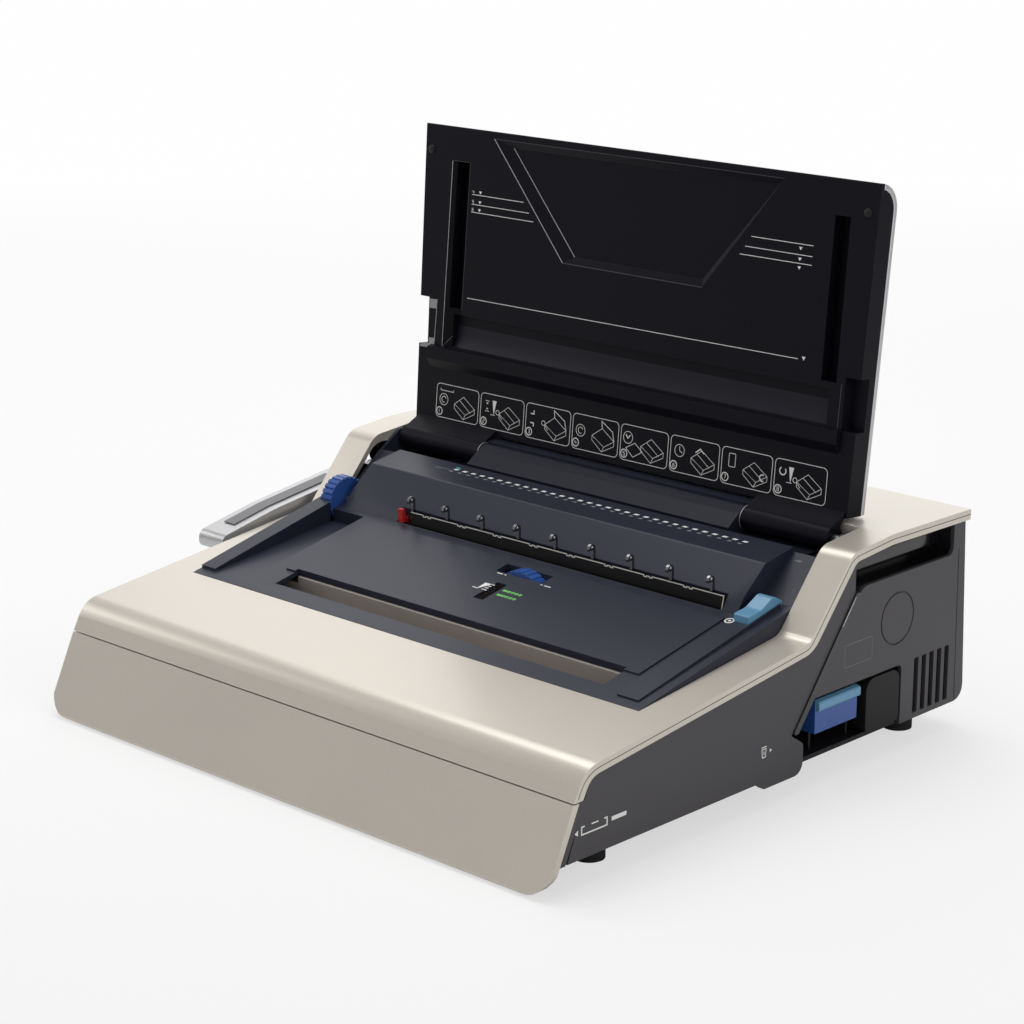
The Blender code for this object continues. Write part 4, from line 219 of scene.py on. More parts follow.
EXTRA = {
    "white_ink": surface("white_ink", (0.78, 0.78, 0.76), 0.55, grain=900, bump=0.03, mottle=0.05),
    "grey_ink": surface("grey_ink", (0.2, 0.2, 0.21), 0.5, grain=900, bump=0.03, mottle=0.05),
    "green_ink": surface("green_ink", (0.13, 0.55, 0.1), 0.5, grain=900, bump=0.03, mottle=0.05),
    "teal_ink": surface("teal_ink", (0.05, 0.42, 0.46), 0.5, grain=900, bump=0.03, mottle=0.05),
    "throat_steel": surface("throat_steel", (0.44, 0.4, 0.37), 0.42, metallic=0.35, grain=900, bump=0.08,
                            mottle=0.1, stretch=(0.06, 1, 1), smear=0.3, flakes=0.05),
    "hook_steel": surface("hook_steel", (0.26, 0.26, 0.27), 0.24, metallic=1.0, grain=1200, bump=0.03,
                          mottle=0.05),
    "comb_black": surface("comb_black", (0.006, 0.006, 0.007), 0.4, grain=900, mottle=0.1, specular=0.3),
    "pan_black": surface("pan_black", (0.006, 0.006, 0.007), 0.5, grain=1200, bump=0.1, mottle=0.1, edge_wear_and_highlight=0.2,
                         specular=0.3),
    "trim_black": surface("trim_moulding", (0.02, 0.019, 0.022), 0.22, coat=0.2, grain=1300, bump=0.03,
                          mottle=0.06, edge_wear_and_highlight=0.25),
    "slope_black": surface("channel_slope_look", (0.007, 0.007, 0.015), 0.4, grain=1500, bump=0.07,
                           mottle=0.1, specular=0.25),
    "bar_navy": surface("hinge_bar_moulding", (0.011, 0.012, 0.022), 0.45, grain=1700, bump=0.1, mottle=0.07,
                        edge_wear_and_highlight=0.3, specular=0.2),
    # Painted highlight: light grey laid where edges catch the light.
    "painted_highlight": surface("painted_highlight_look", (0.42, 0.42, 0.46), 0.35, grain=900, bump=0.03),
    # Fainter painted highlight for edges that catch less light.
    "painted_faint_highlight": surface("painted_faint_highlight_look", (0.055, 0.055, 0.065), 0.35, grain=900, bump=0.03),
    "tab_grey": surface("tab_paint", (0.3, 0.3, 0.31), 0.35, metallic=0.3, grain=2600, bump=0.03,
                        mottle=0.05),
    # Near black for the seam gaps and for painted shade in the left slot.
    "seam_and_painted_shade": surface("seam_shadow", (0.003, 0.003, 0.004), 0.8, grain=900, bump=0.02, mottle=0.05,
                          specular=0.1),
    # Painted highlight colour for the comb's top edge.
    "painted_comb_highlight": surface("painted_comb_highlight", (0.8, 0.77, 0.7), 0.35, metallic=0.15, grain=900, mottle=0.15,
                         flakes=0.1),
}


# Pieces made from the solids, with rounded edges and smooth curves

def paint(thing, look):
    thing.data.materials.clear()
    thing.data.materials.append(look)


def body_of(name):
    return frame["nodes"][name]["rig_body"]


def slot_of(name):
    for part in frame["record"]["subparts"]:
        if part["node"] == name:
            return part["material_slot"]
    raise KeyError(name)


def link_mesh(name, bm, look, body):
    mesh = bpy.data.meshes.new(name)
    bm.to_mesh(mesh)
    bm.free()
    thing = bpy.data.objects.new(name, mesh)
    bpy.context.scene.collection.objects.link(thing)
    paint(thing, look)
    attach(thing, body)
    return thing


def smooth(thing, crease=CREASE):
    thing.data.shade_smooth()
    thing.data.set_sharp_from_angle(angle=crease)
    even = thing.modifiers.new("even_normals", "WEIGHTED_NORMAL")
    even.keep_sharp = True
    even.weight = 80


def welded(name):
    bm = bmesh.new()
    bm.from_mesh(frame["nodes"][name].data)
    bmesh.ops.remove_doubles(bm, verts=bm.verts, dist=WELD)
    bmesh.ops.dissolve_limit(bm, angle_limit=FLAT_ANGLE, verts=bm.verts, edges=bm.edges)
    bmesh.ops.triangulate(bm, faces=bm.faces, ngon_method="BEAUTY")
    return bm


def dress(name, width, look=None):
    """A copy of a solid with rounded edges that stands for it."""
    bm = welded(name)
    slot = slot_of(name)
    thing = link_mesh(f"{name}_form", bm, look or LOOKS[slot], body_of(name))
    round_off = thing.modifiers.new("rounded_edges", "BEVEL")
    round_off.width = width
    round_off.segments = 2
    round_off.limit_method = "ANGLE"
    round_off.angle_limit = ROUNDED_ANGLE
    round_off.use_clamp_overlap = True
    smooth(thing)
    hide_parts(name)
    return thing


# How wide each solid's rounded edges are
DRESSED = {
    "top_cover": 0.0010, "drawer_front": 0.0010, "deck": 0.0010, "lid_inner": 0.0008, "lid_skin": 0.0010,
    "right_front_panel": 0.0006, "left_front_panel": 0.0006, "right_rear_panel": 0.0006,
    "left_rear_panel": 0.0006, "right_trim": 0.0012, "left_trim": 0.0012, "right_grip": 0.0006,
    "left_grip": 0.0006, "rear_panel": 0.0006, "side_block": 0.0008, "hinge_bar": 0.0006,
    "chip_tray": 0.0004, "lever_arm": 0.0020, "lever_inlay": 0.0002, "edge_knob": 0.0003,
    "size_wheel": 0.0003, "punch_paddle": 0.0010, "edge_stop": 0.0003, "hook_rail": 0.0002,
    "storage_tray": 0.0004, "closing_jaw": 0.0004, "power_inlet": 0.0003, "power_switch": 0.0005,
    "foot_front_left": 0.0006, "foot_front_right": 0.0006, "foot_rear_left": 0.0006,
    "foot_rear_right": 0.0006,
}


def dress_all():
    own = {
        "closing_jaw": EXTRA["throat_steel"], "hook_rail": EXTRA["hook_steel"],
        "side_block": EXTRA["pan_black"], "right_trim": EXTRA["trim_black"],
        "left_trim": EXTRA["trim_black"], "hinge_bar": EXTRA["bar_navy"],
    }
    for name, width in DRESSED.items():
        dress(name, width, own.get(name))
    for name, thing in frame["nodes"].items():
        if name not in DRESSED:
            paint(thing, LOOKS[slot_of(name)])
    paint(frame["nodes"]["closing_bar"], EXTRA["throat_steel"])
    paint(frame["nodes"]["base_pan"], EXTRA["pan_black"])


# Planes that carry printed marks. Each turns a place on it and a height above it into a point.

def tilted_plane(origin, across, up):
    across, up = Vector(across).normalized(), Vector(up).normalized()
    out = across.cross(up)
    return lambda u, v, h: SHIFT + Vector(origin) + across * u + up * v + out * h


ON_LID = tilted_plane((0, LID_BASE_Y, LID_BASE_Z), (1, 0, 0), (0, math.sin(LID_LEAN), math.cos(LID_LEAN)))
ON_PLATE = tilted_plane((0, SLOT_FRONT_Y, SLOT_FRONT_Z + PLATE_PROUD), (1, 0, 0), (0, 1, DECK_SLOPE))
ON_RAIL = tilted_plane((0, SLOT_FRONT_Y, SLOT_FRONT_Z + RAIL_PROUD), (1, 0, 0), (0, 1, RAIL_SLOPE))
ON_STRIP = tilted_plane((0, RIDGE_Y, RIDGE_Z), (1, 0, 0), (0, STRIP_REAR_Y - RIDGE_Y, STRIP_REAR_Z - RIDGE_Z))
ON_SIDE = tilted_plane((PANEL_OUT, 0, 0), (0, 1, 0), (0, 0, 1))
ON_SIDE_LEFT = tilted_plane((-PANEL_OUT, 0, 0), (0, -1, 0), (0, 0, 1))
ON_TRIM = tilted_plane((PANEL_OUT + TRIM_PROUD, 0, 0), (0, 1, 0), (0, 0, 1))
ON_COVER_RIGHT = tilted_plane((COVER_HALF, 0, 0), (0, 1, 0), (0, 0, 1))
ON_COVER_LEFT = tilted_plane((-COVER_HALF, 0, 0), (0, -1, 0), (0, 0, 1))


def in_recess(u, v, h):
    """A place on the floor of the lid's recess."""
    return ON_LID(u, v, h - RECESS_DEPTH * MM)


def sides(bm, rings, closed):
    """Faces between each ring of corners and the next, and back to the first if closed."""
    for a, b in zip(rings, rings[1:] + (rings[:1] if closed else [])):
        for i in range(len(a)):
            j = (i + 1) % len(a)
            bm.faces.new((a[i], a[j], b[j], b[i]))


def slab(bm, near, far):
    """A solid between two rings of corners."""
    bm.faces.new(near)
    bm.faces.new(far[::-1])
    sides(bm, [far, near], False)


def ribbon(bm, points, width, closed, place):
    """A printed line: a thin strip along the points, with mitred corners."""
    count = len(points)
    rings = []
    for i, point in enumerate(points):
        here = Vector(point)
        before = Vector(points[i - 1]) if closed or i else here
        after = Vector(points[(i + 1) % count]) if closed or i < count - 1 else here
        runs = [(b - a).normalized() for a, b in ((before, here), (here, after)) if (b - a).length > 0]
        across = [Vector((-run.y, run.x)) for run in runs]
        normal = sum(across, Vector((0, 0))).normalized()
        reach = normal * (width / 2 / max(normal.dot(across[0]), MITRE_LEAST))
        near, far = here + reach, here - reach
        corners = ((near, -INK_SINK), (near, INK_PROUD), (far, INK_PROUD), (far, -INK_SINK))
        rings.append([bm.verts.new(place(spot.x, spot.y, height)) for spot, height in corners])
    sides(bm, rings, closed)
    if not closed:
        bm.faces.new(rings[0][::-1])
        bm.faces.new(rings[-1])


def patch(bm, outline, place):
    """A printed shape with that outline."""
    low = [bm.verts.new(place(u, v, -INK_SINK)) for u, v in outline]
    high = [bm.verts.new(place(u, v, INK_PROUD)) for u, v in outline]
    slab(bm, high, low)


def printed(name, place, body, ink, lines=(), shapes=()):
    """One print job. Lines are (points, width, closed), shapes are outlines, in millimetres on the plane."""
    bm = bmesh.new()
    for points, width, closed in lines:
        ribbon(bm, [(u * MM, v * MM) for u, v in points], width * MM, closed, place)
    for outline in shapes:
        patch(bm, [(u * MM, v * MM) for u, v in outline], place)
    bmesh.ops.recalc_face_normals(bm, faces=bm.faces)
    return link_mesh(name, bm, EXTRA[ink], body)


def arc(u, v, radius, start=0, end=360, steps=20):
    turns = [math.radians(start + (end - start) * i / steps) for i in range(steps + 1)]
    return [(u + radius * math.cos(turn), v + radius * math.sin(turn)) for turn in turns]


def ring(u, v, radius, steps=18):
    return arc(u, v, radius, 0, 360, steps)[:-1]


def rounded_box(u, v, width, height, radius):
    right, top = width - radius, height - radius
    made = []
    for du, dv, turn in ((right, top, 0), (radius, top, 90), (radius, radius, 180), (right, radius, 270)):
        made += arc(u + du, v + dv, radius, turn, turn + 90, 4)
    return made


# Pictograms. Each frame holds a small machine and a sign, in millimetres from the frame's corner.

THIN, LINE, BOLD = 0.28, 0.42, 0.8
MACHINE_STRETCH = 1.2
FRAME_COUNT, FRAME_FIRST, FRAME_STEP = 8, -182.6, 44.95
FRAME_LOW, FRAME_WIDTH, FRAME_HEIGHT, FRAME_RADIUS = 4.8, 42.6, 24.8, 3.2
MACHINE_U, MACHINE_V = 18.5, 1.6
STEP_RING_U, STEP_RING_V, STEP_RING_RADIUS, STEP_RING_WIDTH = 3.6, 4.4, 2.8, 0.7
STEP_U, STEP_V, STEP_SCALE, STEP_STROKE = 2.9, 3.05, 0.9, 0.36


def trace(points, width=LINE):
    return points, width, False


def loop(points, width=LINE):
    return points, width, True


WHEEL = [loop(ring(7.5, 13.5, 4.2)), trace(arc(7.5, 13.5, 2.2, 20, 300, 12))]
POINTER_FOOT = trace([(10, 10), (14.4, 10)])
LENS = [loop(ring(17, 12.5, 1.7, 12)), trace([(18.3, 11.3), (21.5, 8)])]
SIGN_LINES = {
    1: WHEEL + [trace([(4, 21.5), (4, 20), (17, 20), (17, 21.5)])],
    2: [POINTER_FOOT, trace([(4.5, 19.5), (8.5, 19.5)]), trace([(4.5, 12), (8.5, 12)])] + LENS,
    3: [
        trace([(7.5, 20), (7.5, 17.5), (4.5, 17.5)], BOLD), trace([(7.5, 8.5), (7.5, 11), (4.5, 11)], BOLD)
    ] + LENS,
    4: WHEEL,
    5: [
        loop(ring(6.5, 16, 4.2)), trace([(8.6, 18), (6.3, 15.4), (4.4, 18)], BOLD),
        trace([(5, 8.5), (13, 13), (20, 8), (12, 3), (5, 8.5)])
    ],
    6: [
        loop(ring(8, 15, 4.2)), trace([(8, 18), (8, 15), (10.4, 13.6)]),
        trace([(22, 16), (26, 19), (29.5, 16.2)], BOLD)
    ],
    7: [loop(rounded_box(6, 12, 5.5, 9, 0.8)), trace(arc(35, 9, 2.2, 60, 300, 12), BOLD)],
    8: [POINTER_FOOT, trace(arc(6.5, 17, 2.6, 120, 400, 14), BOLD)] + LENS,
}
POINTER = [(11.5, 20.5), (15.5, 20.5), (13.2, 10)]
SIGN_SHAPES = {
    2: [POINTER, [(5.4, 18.2), (7.6, 18.2), (6.5, 16.9)], [(5.4, 13.3), (7.6, 13.3), (6.5, 14.6)]],
    8: [POINTER],
}
DIGITS = {
    1: [[(0.5, 0), (0.5, 3)]],
    2: [[(0, 3), (1.6, 3), (1.6, 1.6), (0, 1.4), (0, 0), (1.6, 0)]],
    3: [[(0, 3), (1.6, 3), (1.6, 0), (0, 0)], [(0.5, 1.5), (1.6, 1.5)]],
    4: [[(0, 3), (0, 1.3), (1.7, 1.3)], [(1.2, 2.2), (1.2, 0)]],
    5: [[(1.6, 3), (0, 3), (0, 1.7), (1.6, 1.5), (1.6, 0), (0, 0)]],
    6: [[(1.6, 3), (0, 2.2), (0, 0), (1.6, 0), (1.6, 1.5), (0, 1.5)]],
    7: [[(0, 3), (1.6, 3), (0.6, 0)]],
    8: [[(0, 0), (1.6, 0), (1.6, 3), (0, 3), (0, 0)], [(0, 1.5), (1.6, 1.5)]],
}


def moved(points, u, v):
    return [(u + a, v + b) for a, b in points]


def moved_lines(lines, u, v):
    return [(moved(points, u, v), width, closed) for points, width, closed in lines]


def digit(number, u, v, width, height, stroke):
    """A digit whose strokes in DIGITS are scaled by width and height."""
    scaled = [[(width * a, height * b) for a, b in points] for points in DIGITS[number]]
    return [trace(moved(points, u, v), stroke) for points in scaled]


def small_machine(opened):
    """Line drawing of a sloping desk machine, its lid down or up."""
    lines = [
        loop([(0, 7), (8, 0), (17, 5.5), (17, 9), (9.5, 3.6), (0, 10.2)], THIN),
        trace([(0, 10.2), (7.5, 16.5), (17, 9)], THIN), trace([(8, 0), (9.5, 3.6)], THIN),
        trace([(2.5, 8.5), (9, 3.9)], THIN)
    ]
    if opened:
        lines.append(trace([(7.5, 16.5), (6.8, 21.5), (15.5, 15.5), (17, 9)]))
    else:
        lines.append(trace([(4, 13.6), (12.8, 6.4)], THIN))
        lines.append(trace([(5.4, 12.6), (13.6, 5.8)], THIN))
    wide = MACHINE_STRETCH
    return [([(wide * a, b) for a, b in points], wide * width, closed) for points, width, closed in lines]


def make_pictograms():
    """The row of frames along the foot of the lid. The machine's lid is up in the third and the fourth."""
    low = FRAME_LOW
    lines, shapes = [], []
    for i in range(FRAME_COUNT):
        u = FRAME_FIRST + i * FRAME_STEP
        lines.append(loop(rounded_box(u, low, FRAME_WIDTH, FRAME_HEIGHT, FRAME_RADIUS)))
        lines += moved_lines(small_machine(i in (2, 3)), u + MACHINE_U, low + MACHINE_V)
        lines += moved_lines(SIGN_LINES[i + 1], u, low)
        shapes += [moved(outline, u, low) for outline in SIGN_SHAPES.get(i + 1, [])]
        round_step = ring(u + STEP_RING_U, low + STEP_RING_V, STEP_RING_RADIUS)
        lines.append(loop(round_step, STEP_RING_WIDTH))
        lines += digit(i + 1, u + STEP_U, low + STEP_V, STEP_SCALE, STEP_SCALE, STEP_STROKE)
    printed("pictograms", ON_LID, "lid", "white_ink", lines, shapes)


def make_lid_marks():
    lines = [trace([(-158, 95.3), (143, 97.0)])]
    shapes = [[(146, 99.0), (149, 99.0), (147.5, 96.4)]]
    for v, left, right, number in ((170.1, -108.6, 96.5, 4), (163.1, -102.8, 92, 5), (157.5, -98.1, 88, 6)):
        lines.append(trace([(-159.0, v), (left, v)]))
        lines.append(trace([(right, v + 1.1), (147.5, v + 1.1)]))
        shapes.append([(-152.4, v + 2.9), (-149.6, v + 2.9), (-151.0, v + 0.7)])
        lines += digit(number, -158.4, v + 0.9, 0.8, 0.7, THIN)
        shapes.append([(136.2, v - 0.8), (139, v - 0.8), (137.6, v - 3)])
    printed("lid_marks", ON_LID, "lid", "white_ink", lines, shapes)


def on_lid_ring(bm, outline, height):
    return [bm.verts.new(ON_LID(u * MM, v * MM, height * MM)) for u, v in outline]


def make_recess_rim():
    """The sloped rim between the lid's face and the floor of its recess."""
    bm = bmesh.new()
    outer_top = on_lid_ring(bm, RECESS_OUTER, -EDGE_SINK)
    inner_low = on_lid_ring(bm, RECESS_INNER, -RECESS_DEPTH)
    outer_low = on_lid_ring(bm, RECESS_OUTER, -RECESS_DEPTH)
    sides(bm, [outer_top, inner_low, outer_low], True)
    bmesh.ops.recalc_face_normals(bm, faces=bm.faces)
    link_mesh("recess_rim", bm, LOOKS["lid_black"], "lid")


def make_channel_slope():
    """The floor of the lid's channel curves up to the face at its foot."""
    profile = []
    for i in range(CURVE_STEPS + 1):
        t = i / CURVE_STEPS
        sink = EDGE_SINK + (CHANNEL_DEPTH - EDGE_SINK) * (1 - (1 - t) ** 2)
        profile.append((CHANNEL_LOW + CHANNEL_RISE * t, -sink))
    profile.append((CHANNEL_LOW, -CHANNEL_DEPTH))
    bm = bmesh.new()
    ends = []
    for u in (-CHANNEL_HALF, CHANNEL_HALF):
        ends.append([bm.verts.new(ON_LID(u * MM, v * MM, h * MM)) for v, h in profile])
    slab(bm, *ends)
    bmesh.ops.recalc_face_normals(bm, faces=bm.faces)
    smooth(link_mesh("channel_slope", bm, EXTRA["slope_black"], "lid"))


def make_lid_painted_light():
    """Painted shade makes the left slot run on down into the channel, and painted highlights, bright and
    faint, mark where the moulding's edges catch the light.
    """
    # Painted shade: a black patch that carries the slot's dark on down into the channel.
    slot_shade = [(SLOT_EDGE_LEFT, SLOT_TOP), (-175.2, SLOT_TOP), (-175.2, 86.1), (-162.8, 86.1),
            (-162.8, 82.0), (-170, 82.0), (-170, SLOT_LOW), (SLOT_EDGE_LEFT, SLOT_LOW)]
    printed("slot_painted_shade", ON_LID, "lid", "seam_and_painted_shade", (), [slot_shade])
    # Painted highlights along the recess rim and the slot's edges.
    bright = [
        trace([RECESS_OUTER[0], RECESS_OUTER[3]], 0.5),
        trace([(-180.3, 192.0), (-180.3, SLOT_LOW), (-170.2, 66.0)], 0.6),
        trace([(-187.8, 90.0), (-188.7, 54.0)], 0.4),
    ]
    # Fainter painted highlights along other edges.
    dim = [
        trace([RECESS_OUTER[3], RECESS_OUTER[2]], 0.5),
        trace([RECESS_OUTER[0], RECESS_OUTER[1]], 0.35),
        trace([(-162.6, 192.0), (-162.6, 86.0)], 0.35),
        trace([(-180.0, 192.4), (-163.0, 192.4)], 0.35),
    ]
    # Painted highlight along the recess floor's edge.
    floor_highlight = [trace([RECESS_INNER[0], RECESS_INNER[3]], 0.5)]
    tabs = [
        [(-195.3, 89.8), (-187.8, 90.2), (-187.6, 83.4), (-195.3, 83.1)],
        [(-194.2, 61.3), (-188.7, 61.6), (-189.4, 53.9), (-203.0, 53.7), (-203.0, 55.4), (-194.2, 57.0)],
    ]
    # Faint painted highlight at the right notch.
    notch = [trace([(179.6, 86.1), (179.0, 55.0)], 0.4)]
    printed("lid_painted_highlights", ON_LID, "lid", "painted_highlight", bright)
    printed("lid_painted_faint_highlights", ON_LID, "lid", "painted_faint_highlight", dim)
    printed("recess_painted_highlight", in_recess, "lid", "painted_highlight", floor_highlight)
    printed("lid_side_tabs", ON_LID, "lid", "tab_grey", (), tabs)
    printed("right_notch_painted_highlight", ON_LID, "lid", "painted_faint_highlight", notch)


def make_barrel_highlights():
    """A painted highlight band on the rounded inner end of each hinge barrel."""
    bm = bmesh.new()
    inside, outside = BARREL_RADIUS - 0.3 * MM, BARREL_RADIUS + RING_PROUD
    for near in (-BARREL_INNER_X - BARREL_HIGHLIGHT_BAND, BARREL_INNER_X):
        far = near + BARREL_HIGHLIGHT_BAND
        rings = []
        for x, radius in ((near, inside), (near, outside), (far, outside), (far, inside)):
            places = []
            for i in range(RING_STEPS):
                turn = 2 * math.pi * i / RING_STEPS
                y, z = HINGE_Y + radius * math.cos(turn), HINGE_Z + radius * math.sin(turn)
                places.append(bm.verts.new(SHIFT + Vector((x, y, z))))
            rings.append(places)
        sides(bm, rings, True)
    bmesh.ops.recalc_face_normals(bm, faces=bm.faces)
    link_mesh("barrel_painted_highlights", bm, EXTRA["painted_highlight"], "lid")


def make_strip_marks():
    """A bright and a dim mark for each hole, and the sign of the first hole."""
    bright, dim = [], []
    for i in range(MARK_COUNT):
        u = (MARK_MIDDLE_X + (i - (MARK_COUNT - 1) / 2) * PITCH) / MM
        bright.append([(u - 2.2, 19.2), (u + 1.5, 19.2), (u + 2.5, 21.2), (u - 1.2, 21.2)])
        dim.append([(u - 3.6, 15.7), (u - 0.6, 15.7), (u + 0.2, 17.3), (u - 2.8, 17.3)])
    dim.append([(191, 12.5), (196.5, 14.2), (196.5, 11.6)])
    start = bright[0][0][0]
    first = [(start - 0.6, 22.4), (start + 3.2, 22.4), (start + 3.8, 23.8), (start, 23.8)]
    lines = [trace([(start - 16, 18), (start - 2.5, 18)]), trace([(start - 16, 16.2), (start - 9, 16.2)])]
    printed("hole_marks", ON_STRIP, "machine", "white_ink", (), bright)
    printed("hole_marks_low", ON_STRIP, "machine", "grey_ink", lines, dim)
    printed("first_hole_mark", ON_STRIP, "machine", "teal_ink", (), [first])


def make_plate_marks():
    """Marks on the plate before the wire slot, and the ring beside the paddle."""
    lines = [trace([(-5, -51.6), (-0.4, -51.6)], BOLD)]
    shapes = [[(-0.6, -52.6), (5.4, -43), (-0.8, -43.2)]]
    for i, length in enumerate((4.5, 3.0, 3.0, 4.5)):
        v = -51.4 + 2.7 * i
        lines.append(trace([(5.5 - length / 2, v), (5.5 + length / 2, v)], BOLD))
    for near, far in ((-4.2, 1.2), (2.6, 4.2), (35.2, 37), (38.6, 44.2)):
        lines.append(trace([(near, -28.2), (far, -28.2)], 0.9))
    printed("plate_marks", ON_PLATE, "machine", "white_ink", lines, shapes)
    green = []
    for v, near in ((-46.2, 18), (-52.6, 18.4)):
        green.append(trace([(near, v), (near + 4, v)], 2.2))
        for k in range(4):
            green.append(loop(ring(near + 5.6 + 3.3 * k, v, 0.95, 10), 0.9))
    printed("plate_marks_green", ON_PLATE, "machine", "green_ink", green)
    knob, dot = loop(ring(182.0, -12.0, 2.9), 1.0), ring(182.0, -12.0, 1.1, 10)
    printed("paddle_mark", ON_RAIL, "machine", "white_ink", [knob], [dot])


def make_side_marks():
    """The sign for emptying the tray, a painted highlight on the trim and the outline beside the carry
    groove.
    """
    tray = [(-170.5, 25.4), (-173, 25.4), (-173, 20.6), (-151, 20.6), (-151, 25.4), (-153.5, 25.4)]
    lines = [trace(tray, 0.9), trace([(-147, 23.2), (-134, 23.2)], 2.6)]
    lines.append(trace([(-164.5, 25.2), (-158.5, 25.2)], 0.8))
    lines.append(loop([(-7.4, 27.4), (-6.8, 22), (-3.8, 22), (-3.2, 27.4)], 0.6))
    lines += [trace([(-7.8, 28.8), (-2.8, 28.8)], 0.6), trace([(-5.3, 23.6), (-5.3, 26)], 0.6)]
    shapes = [[(-179.2, 22.6), (-176.2, 24.4), (-176.2, 20.8)], [(0.4, 26.4), (2.6, 25.1), (0.4, 23.8)]]
    printed("side_marks", ON_SIDE, "machine", "white_ink", lines, shapes)
    # Painted highlight along the trim's glossy edge.
    gleam = [trace([(70.4, 89.0), (83.4, 105.6)], 0.8)]
    printed("trim_gleam", ON_TRIM, "machine", "painted_highlight", gleam)
    faint = [loop(rounded_box(75, 60, 29, 15, 1.0), 0.25)]
    printed("side_outline", ON_SIDE, "machine", "grey_ink", faint)


# Small metal and rubber pieces

COMB_SHEET, COMB_STEP, COMB_JOG, COMB_BEFORE_HOOKS = 0.5 * MM, 1.0 * MM, 1.2 * MM, 1.8 * MM
COMB_UNDER_SLOT, COMB_DEEP = 0.4 * MM, 11 * MM
COMB_LEFT_GAP, COMB_RIGHT_GAP = 12 * MM, 0.8 * MM
COMB_HIGHLIGHT_WIDTH, COMB_HIGHLIGHT_MIDDLE, COMB_HIGHLIGHT_SIDE_WIDTH = 0.7 * MM, 0.35 * MM, 0.8 * MM
TRAY_LIP = 9 * MM
SEAM_WIDTH, REAR_SEAM_WIDTH = 0.45, 0.5
TIP_BEFORE, TIP_SINK, TIP_RADIUS, TIP_HEIGHT = 2.0 * MM, 2.6 * MM, 1.9 * MM, 2.2 * MM
PAD_PLACES, PAD_RADIUS, PAD_HEIGHT = ((-202.4, 198.2), (188, 197)), 3.2 * MM, 1.4 * MM


def comb_strip():
    """The dark plate that edges the rear of the wire slot, with a painted highlight along its stepped top."""
    y = HOOK_Y - COMB_BEFORE_HOOKS
    top, low = SLOT_REAR_Z - COMB_UNDER_SLOT, SLOT_REAR_Z - COMB_DEEP
    start, end = SLOT_LEFT_X + COMB_LEFT_GAP, SLOT_RIGHT_X - COMB_RIGHT_GAP
    outline = [(start, top)]
    for x in hook_places()[:-1]:
        middle = x + HOOK_STEP * PITCH / 2
        for k, drop in enumerate((1, 0.3, 1, 0)):
            near = middle + (2 * k - 4) * COMB_JOG
            outline += [(near, outline[-1][1]), (near, top - drop * COMB_STEP)]
    outline.append((end, top))
    bm = bmesh.new()
    rows = outline + [(end, low), (start, low)]
    near = [bm.verts.new(SHIFT + Vector((u, y - COMB_SHEET, v))) for u, v in rows]
    far = [bm.verts.new(SHIFT + Vector((u, y, v))) for u, v in rows]
    slab(bm, near, far)
    bmesh.ops.recalc_face_normals(bm, faces=bm.faces)
    link_mesh("comb_plate", bm, EXTRA["comb_black"], "machine")
    # Painted highlight: a pale line along the stepped top and down the slot's right end.
    bm = bmesh.new()
    face = tilted_plane((0, y - COMB_SHEET, 0), (1, 0, 0), (0, 0, 1))
    ribbon(bm, [(u, v - COMB_HIGHLIGHT_MIDDLE) for u, v in outline], COMB_HIGHLIGHT_WIDTH, False, face)
    side = tilted_plane((end, 0, 0), (0, 1, 0), (0, 0, 1))
    foot = (SLOT_FRONT_Y + 1 * MM, SLOT_FRONT_Z + 0.4 * MM)
    ribbon(bm, [(y, top), foot], COMB_HIGHLIGHT_SIDE_WIDTH, False, side)
    bmesh.ops.recalc_face_normals(bm, faces=bm.faces)
    link_mesh("comb_painted_highlight", bm, EXTRA["painted_comb_highlight"], "machine")


def hook_places():
    middle = (SLOT_LEFT_X + SLOT_RIGHT_X) / 2
    return [middle + (i - (HOOK_COUNT - 1) / 2) * HOOK_STEP * PITCH for i in range(HOOK_COUNT)]


def domes(name, centres, radius, height, out, look, body):
    """Small round pads or bulbs, each a flattened half ball that faces out."""
    bm = bmesh.new()
    out = Vector(out).normalized()
    turn = out.to_track_quat("Z", "Y").to_matrix().to_4x4()
    for centre in centres:
        made = bmesh.ops.create_uvsphere(bm, u_segments=20, v_segments=12, radius=1)["verts"]
        bmesh.ops.scale(bm, vec=(radius, radius, height), verts=made)
        bmesh.ops.transform(bm, matrix=Matrix.Translation(centre) @ turn, verts=made)
    thing = link_mesh(name, bm, look, body)
    thing.data.shade_smooth()


def tray_lip():
    """The chip tray's lip is moulded in a lighter blue than its box."""
    thing = bpy.data.objects["chip_tray_form"]
    thing.data.materials.append(LOOKS["light_blue"])
    top = max(corner.co.z for corner in thing.data.vertices)
    for face in thing.data.polygons:
        if face.center.z > top - TRAY_LIP:
            face.material_index = 1


def rounded_path(points, radii, steps=6):
    """The points with an arc in place of each inner corner."""
    made = [Vector(points[0])]
    for before, here, after, radius in zip(points, points[1:], points[2:], radii):
        here = Vector(here)
        a, b = (Vector(before) - here).normalized(), (Vector(after) - here).normalized()
        half = a.angle(b) / 2
        reach = radius / math.tan(half)
        start, end = here + a * reach, here + b * reach
        for i in range(steps + 1):
            t = i / steps
            made.append(start * (1 - t) ** 2 + here * 2 * t * (1 - t) + end * t ** 2)
    return made + [Vector(points[-1])]


